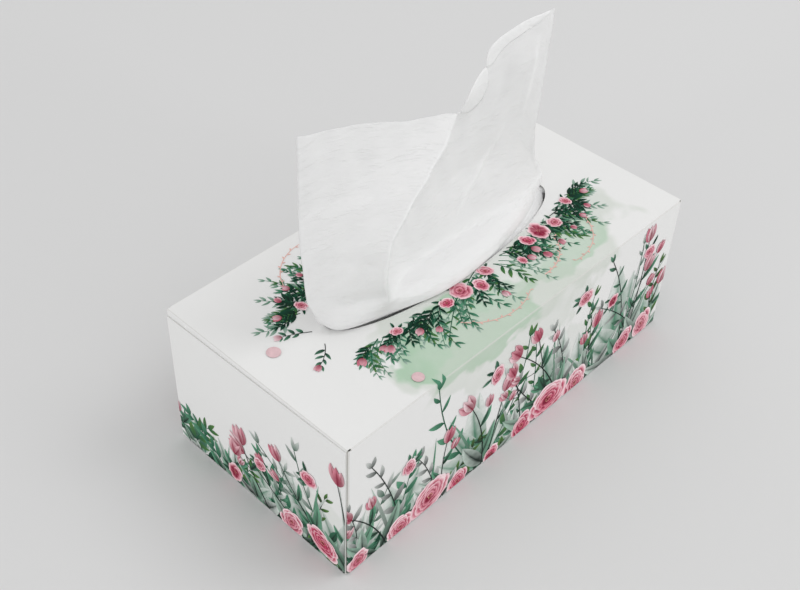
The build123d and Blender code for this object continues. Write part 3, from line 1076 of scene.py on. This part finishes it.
# Gathers one above the other, as in the part's source: height as a share of the raised height above
# the top panel, then shares of half the opening's length and width from the left edge to the right.
GATHERS = [
    (-0.024, [(-0.965, 0.07), (-0.935, -0.19), (-0.835, -0.41), (-0.63, -0.59), (-0.32, -0.86),
              (0.08, -0.965), (0.42, -0.93), (0.75, -0.76), (1.01, -0.06)]),
    (0.00, [(-0.98, 0.06), (-0.97, -0.16), (-0.88, -0.40), (-0.66, -0.66), (-0.34, -0.91),
            (0.08, -0.97), (0.41, -0.80), (0.71, -0.50), (0.94, -0.08)]),
    (0.018, [(-1.01, 0.05), (-1.00, -0.22), (-0.91, -0.47), (-0.68, -0.69), (-0.38, -1.00),
             (0.03, -1.05), (0.39, -0.84), (0.70, -0.51), (0.96, -0.08)]),
    (0.05, [(-1.05, 0.04), (-1.01, -0.26), (-0.92, -0.52), (-0.69, -0.72), (-0.42, -0.93),
            (0.00, -0.99), (0.37, -0.81), (0.70, -0.48), (0.975, -0.08)]),
    (0.078, [(-1.07, 0.02), (-0.99, -0.30), (-0.88, -0.54), (-0.69, -0.74), (-0.44, -0.72),
             (-0.04, -0.74), (0.33, -0.65), (0.68, -0.42), (0.975, -0.08)]),
    (0.097, [(-1.08, 0.00), (-0.97, -0.32), (-0.84, -0.55), (-0.69, -0.75), (-0.47, -0.42),
             (-0.08, -0.32), (0.29, -0.34), (0.66, -0.32), (0.96, -0.07)]),
    (0.13, [(-1.10, -0.02), (-0.94, -0.30), (-0.78, -0.56), (-0.69, -0.745), (-0.50, -0.32),
            (-0.15, -0.22), (0.24, -0.23), (0.65, -0.22), (0.94, -0.06)]),
    (0.21, [(-1.14, 0.00), (-0.99, -0.22), (-0.82, -0.54), (-0.71, -0.75), (-0.54, -0.18),
            (-0.26, -0.08), (0.15, -0.06), (0.58, -0.06), (0.89, 0.00)]),
    (0.36, [(-1.16, 0.00), (-1.01, -0.20), (-0.82, -0.50), (-0.69, -0.75), (-0.52, -0.10),
            (-0.24, 0.10), (0.17, 0.20), (0.58, 0.10), (0.86, 0.00)]),
    (0.57, [(-1.18, 0.00), (-0.98, -0.17), (-0.70, -0.45), (-0.46, -0.72), (-0.31, -0.15),
            (-0.07, 0.12), (0.26, 0.22), (0.60, 0.05), (0.875, 0.00)]),
    (0.71, [(-1.18, 0.00), (-0.92, -0.10), (-0.55, -0.30), (-0.14, -0.45), (0.00, -0.10),
            (0.14, 0.06), (0.36, 0.16), (0.65, -0.02), (0.885, 0.00)]),
    (0.79, [(-1.18, 0.00), (-0.90, -0.08), (-0.50, -0.22), (0.02, -0.18), (0.12, -0.02),
            (0.24, 0.10), (0.43, 0.14), (0.68, -0.05), (0.89, 0.00)]),
    (1.06, [(-1.18, 0.00), (-0.85, 0.02), (-0.42, -0.02), (0.10, -0.04), (0.22, 0.06),
            (0.36, 0.18), (0.56, 0.20), (0.77, -0.05), (0.90, 0.00)]),
]
ROOT = [(-0.90, 0.10), (-0.80, -0.30), (-0.66, -0.45), (-0.50, -0.25), (-0.27, -0.40),
        (0.07, -0.45), (0.41, -0.40), (0.71, -0.25), (0.90, 0.00)]
# How crisp the long ridge is at each of the heights above, the root first
RIDGE_SHARPNESS = [0.0, 0.0, 0.0, 0.0, 0.0, 0.2, 0.6, 0.9, 1.0, 1.0, 1.0, 0.9, 0.7, 0.3]
RIDGE = 3
# Columns on both sides of the ridge, and rows from the root up and of the lower half
LEFT_COLUMNS = 76
RIGHT_COLUMNS = 128
ROOT_ROWS = 12
RIM_ROWS = 52
UPPER_ROWS = 128
LOWER_ROWS = 46
# The finest rows lie this far below and above the top panel
RIM_BELOW = 1
RIM_ABOVE = 12
# Over the pile, under the top panel, and above it where the turned margins begin
SHEET_LIES = 0.35
UNDER_PANEL = 1.3
MARGINS_ABOVE = 45
RIDGE_PINCH = 0.9
# The swell of the lower half under the rim
SWELL_CENTRE = (76.0, 2.0)
SWELL_REACH = (17.0, 15.0)
SHEET_SEED = 23
# The free edge seen square to the long side
FREE_EDGE = [
    [(-1.25, 1.02), (-0.88, 0.948), (-0.64, 0.902), (-0.44, 0.848), (-0.25, 0.812),
     (-0.05, 0.765), (0.13, 0.675)],
    [(0.13, 0.675), (0.19, 0.765), (0.345, 0.825)],
    [(0.345, 0.825), (0.36, 0.895), (0.50, 0.933), (0.69, 0.970), (0.95, 0.955)],
]
# Soft creases: places (across, height) in millimetres, width and rise towards the front
CREASES = [
    ([(40.0, 131.0), (34.3, 122.2), (27.4, 114.8), (14.5, 107.6), (5.0, 98.6)], 1.1, 0.9),
    ([(30.0, 118.6), (22.0, 111.0), (15.7, 107.1), (8.9, 99.0)], 0.9, 0.6),
    ([(53.6, 171.0), (53.8, 157.3), (52.4, 147.0), (51.0, 134.0)], 1.7, 1.0),
    ([(62.0, 118.0), (62.4, 111.0), (64.6, 101.0), (68.0, 91.0)], 1.0, 0.6),
    ([(57.0, 140.0), (47.0, 120.0), (42.0, 105.0)], 3.0, -0.45),
    ([(-84.0, 150.0), (-60.0, 148.5), (-38.0, 144.0)], 3.0, -0.35),
    ([(-80.0, 124.0), (-62.0, 118.0), (-50.0, 108.0)], 3.5, -0.4),
    ([(-76.0, 104.0), (-66.0, 112.0), (-58.0, 122.0)], 3.0, 0.35),
    ([(40.0, 170.0), (36.0, 150.0), (30.0, 135.0)], 3.2, -0.5),
]
# Margins turned over on to the face along the two scallops: their inner lines (across, height)
TURNED_MARGINS = [
    [(9.5, 152.2), (15.0, 149.6), (21.2, 149.7), (25.3, 152.8), (26.5, 158.0), (25.2, 167.6)],
    [(25.2, 167.8), (28.6, 168.1), (33.5, 171.2), (37.8, 173.8), (44.8, 177.0), (54.8, 180.4), (61.0, 182.4)],
]


def opening_places(shares):
    return np.array([(a * OPENING_HALF_LENGTH, b * OPENING_HALF_WIDTH) for a, b in shares])


def gather_line(shares, sharpness):
    """Places along one gather, smooth on both sides of the ridge and crisp there as sharpness says."""
    points = opening_places(shares)
    knots = chord_knots(points)
    spots = np.concatenate([np.linspace(knots[0], knots[RIDGE], LEFT_COLUMNS + 1),
                            np.linspace(knots[RIDGE], knots[-1], RIGHT_COLUMNS + 1)[1:]])
    smooth = cubic_through(knots, points, spots)
    before = cubic_through(knots[:RIDGE + 1], points[:RIDGE + 1], spots[:LEFT_COLUMNS + 1])
    after = cubic_through(knots[RIDGE:], points[RIDGE:], spots[LEFT_COLUMNS + 1:])
    return smooth * (1 - sharpness) + np.concatenate([before, after]) * sharpness


def free_edge_run(run, count):
    """Places (across, height) along one run of the free edge."""
    points = np.array([(a * OPENING_HALF_LENGTH, HEIGHT + b * RAISED) for a, b in run])
    knots = chord_knots(points)
    return cubic_through(knots, points, np.linspace(0, knots[-1], count))


def over_free_edge(x, z):
    """How far a place lies above the free edge: below zero inside the sheet."""
    line = np.concatenate([free_edge_run(run, 240) for run in FREE_EDGE])
    across = np.maximum.accumulate(line[:, 0] + np.arange(len(line)) * 1e-6)
    return z - np.interp(x, across, line[:, 1])


def crease_rise(x, z):
    """How far the creases push the sheet towards the front."""
    total = np.zeros_like(x)
    for places, width, rise in CREASES:
        line = np.array(places)
        nearest = np.full(x.shape, 1e9)
        fade = np.zeros(x.shape)
        lengths = chord_knots(line)
        for i in range(len(line) - 1):
            way = line[i + 1] - line[i]
            t = ((x - line[i, 0]) * way[0] + (z - line[i, 1]) * way[1]) / (way @ way)
            t = np.clip(t, 0, 1)
            gap = np.hypot(x - line[i, 0] - t * way[0], z - line[i, 1] - t * way[1])
            along = (lengths[i] + t * (lengths[i + 1] - lengths[i])) / lengths[-1]
            fade = np.where(gap < nearest, np.sin(np.pi * np.clip(along, 0.04, 0.96)) ** 0.5, fade)
            nearest = np.minimum(nearest, gap)
        total += rise * np.exp(-(nearest / width) ** 2) * fade
    return total


def soft_waves(x, z, dice, count, longest, shortest):
    """Gentle unevenness, between -1 and 1."""
    total = np.zeros_like(x)
    for _ in range(count):
        turn = dice.uniform(0, math.tau)
        wave = math.tau / dice.uniform(shortest, longest)
        total += np.sin(wave * (x * math.cos(turn) + z * math.sin(turn)) + dice.uniform(0, math.tau))
    return total / math.sqrt(count)


def on_face(flat, face, fronts):
    """Depth and front direction of the face at places (across, height)."""
    gaps = np.hypot(flat[:, :1] - face[None, :, 0], flat[:, 1:] - face[None, :, 2])
    nearest = np.argsort(gaps, axis=1)[:, :6]
    weight = 1 / (np.take_along_axis(gaps, nearest, 1) + 0.05)
    weight /= weight.sum(1, keepdims=True)
    return (face[nearest, 1] * weight).sum(1), (fronts[nearest] * weight[..., None]).sum(1)


def turned_margin(edge, inner, face, fronts, rows=9):
    """A margin turned over along the free edge: a tight bend, then a strip that lies on the face."""
    run = chord_knots(edge)
    inner = np.array(inner)
    knots = chord_knots(inner)
    line = cubic_through(knots / knots[-1], inner, run / run[-1])
    wide = np.linalg.norm(edge - line, axis=1)
    out = np.stack([-np.gradient(edge[:, 1]), np.gradient(edge[:, 0])], axis=1)
    out *= np.clip(wide / 2.5, 0, 1)[:, None] / np.linalg.norm(out, axis=1, keepdims=True)
    lines = []
    for push, lift in ((0.0, -0.16), (0.16, -0.1), (0.24, 0.04), (0.2, 0.18), (0.1, 0.27)):
        depth, forward = on_face(edge, face, fronts)
        flat = edge + out * push
        lines.append(np.stack([flat[:, 0], depth, flat[:, 1]], axis=1) + forward * lift)
    for i in range(1, rows + 1):
        t = i / rows
        flat = edge * (1 - t) + line * t
        depth, forward = on_face(flat, face, fronts)
        lift = (0.29 + 0.22 * math.sin(math.pi * t)) * np.clip(wide / 1.6, 0, 1)
        lines.append(np.stack([flat[:, 0], depth, flat[:, 1]], axis=1) + forward * lift[:, None])
    return np.stack(lines), run


def cut_along(values, over):
    """Keeps the part of a grid of values where over is not above zero. Returns its points and faces."""
    rows, columns = over.shape
    kept = [tuple(value) for value in values.reshape(-1, values.shape[-1])]
    over = over.ravel()
    made, faces = {}, []
    for quad in grid_faces(rows, columns).tolist():
        inside = [over[k] <= 0 for k in quad]
        if all(inside):
            faces.append(quad)
        elif any(inside):
            face = []
            for k in range(4):
                here, after = quad[k], quad[(k + 1) % 4]
                if inside[k]:
                    face.append(here)
                if inside[k] != inside[(k + 1) % 4]:
                    key = (min(here, after), max(here, after))
                    if key not in made:
                        share = over[key[0]] / (over[key[0]] - over[key[1]])
                        made[key] = len(kept)
                        first, second = np.array(kept[key[0]]), np.array(kept[key[1]])
                        kept.append(tuple(first * (1 - share) + second * share))
                    face.append(made[key])
            faces.append(face)
    used = sorted({k for face in faces for k in face})
    place = {k: i for i, k in enumerate(used)}
    return np.array([kept[k] for k in used]), [[place[k] for k in face] for face in faces]


def ramp(values, start, reach):
    """0 up to the start, then rising to 1 over the reach."""
    return np.clip((values - start) / reach, 0, 1)


def fronts_of(grid):
    """The direction that the front of the sheet faces at each place."""
    front = np.cross(np.gradient(grid, axis=1), np.gradient(grid, axis=0))
    return front / np.linalg.norm(front, axis=-1, keepdims=True)


def gathered_half(dice):
    """The sheet above its root: places, how much painted highlight each gets, and how far it lies over the
    free edge.
    """
    lying = PILE_TOP + SHEET_LIES
    knots = np.array([lying] + [HEIGHT + share * RAISED for share, _ in GATHERS])
    gathers = [ROOT] + [shares for _, shares in GATHERS]
    rows = np.stack([gather_line(shares, sharp) for shares, sharp in zip(gathers, RIDGE_SHARPNESS)])
    low, high = HEIGHT - RIM_BELOW, HEIGHT + RIM_ABOVE
    levels = np.concatenate([np.linspace(lying, low, ROOT_ROWS, endpoint=False),
                             np.linspace(low, high, RIM_ROWS, endpoint=False),
                             np.linspace(high, knots[-1], UPPER_ROWS)])
    heights = levels[:, None] * np.ones(rows.shape[1])[None, :]
    grid = np.concatenate([steady_cubic(knots, rows, heights), heights[..., None]], axis=-1)
    over = over_free_edge(grid[..., 0], grid[..., 2])
    ridge_top = levels[np.argmax(over[:, LEFT_COLUMNS] > 0)]

    # Creases, a pinched ridge and soft waves push the sheet towards its front
    x, z = grid[..., 0], grid[..., 2]
    free = ramp(z - HEIGHT, 5, 18)
    creases = crease_rise(x, z) * ramp(z - HEIGHT, 12, 8)
    from_ridge = np.linalg.norm(grid - grid[:, LEFT_COLUMNS:LEFT_COLUMNS + 1], axis=-1)
    pinch = np.exp(-(from_ridge / RIDGE_PINCH) ** 2)
    pinch *= ramp(z - HEIGHT, 8, 10) * ramp(ridge_top - z, 1, 7)
    # Painted highlight: the pinched ridge, the creases and the lobe that rolls over the rim are whitened in
    # colour, standing in for the light they catch
    right_of_ridge = np.arange(rows.shape[1]) - LEFT_COLUMNS
    lobe = ramp(HEIGHT - z, -15, 6) * ramp(right_of_ridge, 2, 8)[None, :]
    painted_highlight = np.clip(pinch + np.clip(creases, 0, 1) * 0.6 + 0.6 * lobe, 0, 1)
    push = creases + 0.7 * pinch
    push += 0.28 * soft_waves(x, z, dice, 7, 34, 13) * free
    push += 0.035 * soft_waves(x * 0.35, z, dice, 9, 6, 2.4) * free
    return grid + fronts_of(grid) * push[..., None], painted_highlight, over


def lower_half(root):
    """The half that lies on the pile: it fans out to the sheet's full width, and swells under the rim."""
    spread = np.linspace(-PILE_HALF_LENGTH + 1.5, PILE_HALF_LENGTH - 1.5, len(root))
    rows = []
    for i in range(LOWER_ROWS, 0, -1):
        t = i / LOWER_ROWS
        ease = t ** 0.4
        x = root[:, 0] * (1 - ease) + spread * ease
        y = root[:, 1] * (1 - t) + (PILE_HALF_WIDTH - 1.0) * t
        y = y - 14.0 * math.exp(-((t - 0.12) / 0.1) ** 2) * ramp(x, 68.0, 8.0)
        ripple = 0.5 + 0.5 * np.sin(x * 0.55 + 2.2 * t + 0.6 * np.sin(y * 0.2))
        hump = math.sin(math.pi * min(t * 0.92 + 0.04, 1.0)) ** 0.7
        z = PILE_TOP + SHEET_LIES + 2.4 * ripple * hump
        a, b = (x - SWELL_CENTRE[0]) / SWELL_REACH[0], (y - SWELL_CENTRE[1]) / SWELL_REACH[1]
        swell = np.exp(-a ** 4 - b ** 4) * min(t / 0.1, 1.0)
        z = z + swell * (HEIGHT - UNDER_PANEL - z)
        rows.append(np.stack([x, y, z], axis=-1))
    return np.stack(rows)


def sheet_square(grid):
    """Where each place lies on the flat sheet: millimetres along its width and its length."""
    steps_up = np.linalg.norm(np.diff(grid, axis=0), axis=-1)
    length_place = np.concatenate([np.zeros((1, grid.shape[1])), np.cumsum(steps_up, axis=0)])
    steps_across = np.linalg.norm(np.diff(grid, axis=1), axis=-1).mean(axis=0)
    width_place = np.concatenate([[0], np.cumsum(steps_across)])
    wide = np.broadcast_to(width_place, length_place.shape)
    return np.stack([wide, length_place, np.zeros_like(length_place)], axis=-1)


def sheet_mesh():
    """The mesh of the drawn sheet: both halves, cut at the free edge, with its margins turned over."""
    grid, painted_highlight, over = gathered_half(random.Random(SHEET_SEED))
    high = grid[..., 2] > HEIGHT + MARGINS_ABOVE
    face, fronts = grid[high], fronts_of(grid)[high]
    lower = lower_half(grid[0])
    grid = np.concatenate([lower, grid])
    # The lower half gets no painted highlight
    painted_highlight = np.concatenate([np.zeros(lower.shape[:2]), painted_highlight])
    over = np.concatenate([np.full(lower.shape[:2], -1.0), over])

    cut, faces = cut_along(np.concatenate([grid, sheet_square(grid), painted_highlight[..., None]], axis=-1), over)
    points, cloths, painted_highlights, maps = [cut[:, :3]], [cut[:, 3:6]], [cut[:, 6]], [cut[:, 3:5]]
    beside = cut[:, 3].max() + 6
    count = len(cut)
    for k, (run, inner) in enumerate(zip((FREE_EDGE[1], FREE_EDGE[2]), TURNED_MARGINS)):
        edge = free_edge_run(run, 60)
        edge = edge[edge[:, 0] <= inner[-1][0]]
        strip, along_edge = turned_margin(edge, inner, face, fronts)
        size = len(strip) * len(edge)
        points.append(strip.reshape(-1, 3))
        cloths.append(points[-1][:, [0, 2, 1]])
        # The turned margins get a strong painted highlight in their colour
        painted_highlights.append(np.full(size, 0.9))
        across_strip = np.repeat(np.arange(len(strip)), len(edge))
        maps.append(np.stack([beside + across_strip, np.tile(along_edge, len(strip)) + 70 * k], axis=1))
        faces += grid_faces(len(strip), len(edge), count).tolist()
        count += size
    points, cloths, painted_highlights, maps = (np.concatenate(parts) for parts in (points, cloths, painted_highlights, maps))

    mesh = bpy.data.meshes.new("drawn_sheet")
    mesh.from_pydata((points * MM).tolist(), [], faces)
    place = mesh.attributes.new("sheet_place", "FLOAT_VECTOR", "POINT")
    place.data.foreach_set("vector", cloths.astype(np.float32).ravel())
    # Stores the painted highlight, which whitens the tissue colour in the material
    highlight_attribute = mesh.attributes.new("sheet_crest", "FLOAT", "POINT")
    highlight_attribute.data.foreach_set("value", painted_highlights.astype(np.float32))
    lay_flat_map(mesh, (maps / (maps.max() * 1.02)).astype(np.float32))
    work = bmesh.new()
    work.from_mesh(mesh)
    bmesh.ops.remove_doubles(work, verts=work.verts[:], dist=0.00001)
    work.to_mesh(mesh)
    work.free()
    mesh.shade_smooth()
    return mesh


def drawn_sheet(settings, material):
    """The sheet that is drawn up through the opening, gathered there, with its lower half on the pile."""
    piece = new_piece("drawn_sheet", sheet_mesh(), material)
    thick = piece.modifiers.new("thickness", "SOLIDIFY")
    thick.thickness = settings.sheet_thickness
    thick.offset = 0.0
    bpy.context.view_layer.objects.active = piece
    piece.select_set(True)
    bpy.ops.object.modifier_apply(modifier=thick.name)
    piece.select_set(False)
    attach(piece, "root")
    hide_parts("raised_tissue")
    return piece


# The stage, in metres

FLOOR_RADIUS = 5.0
FLOOR_SIDES = 96
FLOOR_HEIGHT = -0.0002
KEY_SIZE = 1.0
FILL_SIZE = 0.85
KEY_PLACE = (0.8, -0.7, 1.7)
LEFT_FILL_PLACE = (-3.2, 0.19, 0.45)
FRONT_FILL_PLACE = (0.94, -3.2, 0.47)
LAMP_AIM = (0.0, 0.0, 0.05)
CAMERA_PLACE = (-0.3214, -0.2689, 0.4358)
# Degrees: the heading from +X towards +Y, the tilt downwards and the roll
CAMERA_HEADING = 42.35
CAMERA_TILT = 42.4223
CAMERA_ROLL = 2.4639


def lay_floor(settings):
    """A wide round floor, a hair under the carton."""
    turns = [math.tau * i / FLOOR_SIDES for i in range(FLOOR_SIDES)]
    ring = [(math.cos(turn) * FLOOR_RADIUS, math.sin(turn) * FLOOR_RADIUS, FLOOR_HEIGHT) for turn in turns]
    mesh = bpy.data.meshes.new("floor")
    mesh.from_pydata(ring, [], [list(range(FLOOR_SIDES))])
    material, w = blank_material("floor")
    shader = w.node("ShaderNodeBsdfPrincipled", {"Base Color": tuple(settings.floor_grey), "Roughness": 0.9,
                                                 "Specular IOR Level": 0.1})
    w.node("ShaderNodeOutputMaterial", {"Surface": shader.outputs[0]})
    floor = new_piece("floor", mesh, material)


def hang_lamp(scene, name, power, size, place):
    """A round lamp that faces the carton."""
    light = bpy.data.lights.new(name, "AREA")
    light.energy = power
    light.shape = "DISK"
    light.size = size
    lamp = bpy.data.objects.new(name, light)
    lamp.location = place
    lamp.rotation_euler = (Vector(LAMP_AIM) - Vector(place)).to_track_quat("-Z", "Y").to_euler()
    scene.collection.objects.link(lamp)


def studio_world(settings):
    """Even light from all round. The camera sees the floor's grey instead."""
    world = bpy.data.worlds.new("studio")
    world.use_nodes = True
    world.node_tree.nodes.clear()
    w = Wiring(world.node_tree)
    even = w.node("ShaderNodeBackground", {"Color": (1.0, 1.0, 1.0, 1.0), "Strength": settings.sky_level})
    shown = w.node("ShaderNodeBackground", {"Color": tuple(settings.floor_grey), "Strength": 1.0})
    ray = w.node("ShaderNodeLightPath").outputs
    mirrored = w.math("MAXIMUM", ray["Is Glossy Ray"], ray["Is Transmission Ray"])
    both = w.node("ShaderNodeMixShader", {"Fac": w.math("MAXIMUM", ray["Is Camera Ray"], mirrored)})
    w.feed(both.inputs[1], even.outputs[0])
    w.feed(both.inputs[2], shown.outputs[0])
    w.node("ShaderNodeOutputWorld", {"Surface": both.outputs[0]})
    return world


def set_camera(scene, settings):
    """The view down on one corner."""
    camera = bpy.data.cameras.new("camera")
    camera.sensor_width = 36.0
    camera.lens = settings.lens
    camera.clip_start = 0.01
    view = bpy.data.objects.new("camera", camera)
    heading, tilt, roll = (math.radians(angle) for angle in (CAMERA_HEADING, CAMERA_TILT, CAMERA_ROLL))
    ahead = math.cos(tilt)
    forward = Vector((math.cos(heading) * ahead, math.sin(heading) * ahead, -math.sin(tilt)))
    level = Vector((math.sin(heading), -math.cos(heading), 0.0))
    rightward = level * math.cos(roll) + level.cross(forward) * math.sin(roll)
    turn = Matrix((rightward, rightward.cross(forward), -forward)).transposed().to_4x4()
    view.matrix_world = Matrix.Translation(CAMERA_PLACE) @ turn
    scene.collection.objects.link(view)
    scene.camera = view


# Operators

class TISSUEBOX_OT_finish_carton(bpy.types.Operator):
    """Give the folding carton its coated, washed and creased board"""
    bl_idname = "tissuebox.finish_carton"
    bl_label = "Finish carton"

    def execute(self, context):
        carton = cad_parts["carton"]
        material = printed_board_material(context.scene.printed_carton)
        if carton.material_slots:
            for slot in carton.material_slots:
                slot.material = material
        else:
            carton.data.materials.append(material)
        return {"FINISHED"}


class TISSUEBOX_OT_print_meadow(bpy.types.Operator):
    """Print the meadow border, the garland round the opening and the spots, one ink layer over another"""
    bl_idname = "tissuebox.print_meadow"
    bl_label = "Print meadow"

    def execute(self, context):
        settings = context.scene.printed_carton
        material = printing_ink_material()
        names = {"pale": "print_pale_leaves", "middle": "print_leaf_sprays", "dark": "print_dark_leaves",
                 "blossoms": "print_blossoms", "dots": "print_dots"}
        for key, layer in printed_shapes(settings).items():
            print_layer(names[key], layer, material)
        return {"FINISHED"}


class TISSUEBOX_OT_stack_tissues(bpy.types.Operator):
    """Stack the interleaved folded tissues inside the carton"""
    bl_idname = "tissuebox.stack_tissues"
    bl_label = "Stack tissues"

    def execute(self, context):
        settings = context.scene.tissue_sheets
        folded_pile(settings, tissue_material("folded tissue", settings, 0.0))
        return {"FINISHED"}


class TISSUEBOX_OT_draw_sheet(bpy.types.Operator):
    """Draw the top sheet up through the opening"""
    bl_idname = "tissuebox.draw_sheet"
    bl_label = "Draw sheet"

    def execute(self, context):
        settings = context.scene.tissue_sheets
        drawn_sheet(settings, tissue_material("drawn tissue", settings, 0.22, "sheet_place"))
        return {"FINISHED"}


class TISSUEBOX_OT_set_stage(bpy.types.Operator):
    """Lay the floor, hang the lamps and set the camera"""
    bl_idname = "tissuebox.set_stage"
    bl_label = "Set stage"

    def execute(self, context):
        settings = context.scene.tissue_stage
        lay_floor(settings)
        for name, power, size, place in (("key", settings.key_power, KEY_SIZE, KEY_PLACE),
                                         ("left_fill", settings.left_power, FILL_SIZE, LEFT_FILL_PLACE),
                                         ("front_fill", settings.front_power, FILL_SIZE, FRONT_FILL_PLACE)):
            hang_lamp(context.scene, name, power, size, place)
        context.scene.world = studio_world(settings)
        set_camera(context.scene, settings)
        context.scene.view_settings.view_transform = "Standard"
        return {"FINISHED"}


class TISSUEBOX_PT_panel(bpy.types.Panel):
    """The steps and settings of the tissue box"""
    bl_label = "Tissue box"
    bl_space_type = "VIEW_3D"
    bl_region_type = "UI"
    bl_category = "Tissue box"

    def draw(self, context):
        for title, settings, steps in (
            ("Carton", context.scene.printed_carton, (TISSUEBOX_OT_finish_carton, TISSUEBOX_OT_print_meadow)),
            ("Tissues", context.scene.tissue_sheets, (TISSUEBOX_OT_stack_tissues, TISSUEBOX_OT_draw_sheet)),
            ("Stage", context.scene.tissue_stage, (TISSUEBOX_OT_set_stage,)),
        ):
            box = self.layout.box()
            box.label(text=title)
            for name in settings.__annotations__:
                box.prop(settings, name)
            for step in steps:
                box.operator(step.bl_idname)


CLASSES = (PrintedCartonSettings, TissueSettings, StageSettings, TISSUEBOX_OT_finish_carton,
           TISSUEBOX_OT_print_meadow, TISSUEBOX_OT_stack_tissues, TISSUEBOX_OT_draw_sheet,
           TISSUEBOX_OT_set_stage, TISSUEBOX_PT_panel)


def register():
    for item in CLASSES:
        bpy.utils.register_class(item)
    bpy.types.Scene.printed_carton = bpy.props.PointerProperty(type=PrintedCartonSettings)
    bpy.types.Scene.tissue_sheets = bpy.props.PointerProperty(type=TissueSettings)
    bpy.types.Scene.tissue_stage = bpy.props.PointerProperty(type=StageSettings)


def unregister():
    del bpy.types.Scene.tissue_stage
    del bpy.types.Scene.tissue_sheets
    del bpy.types.Scene.printed_carton
    for item in reversed(CLASSES):
        bpy.utils.unregister_class(item)


def main():
    """Builds the whole tissue box, step by step."""
    register()
    bpy.ops.tissuebox.set_stage()
    bpy.ops.tissuebox.finish_carton()
    bpy.ops.tissuebox.print_meadow()
    bpy.ops.tissuebox.stack_tissues()
    bpy.ops.tissuebox.draw_sheet()


if __name__ == "__main__":
    main()
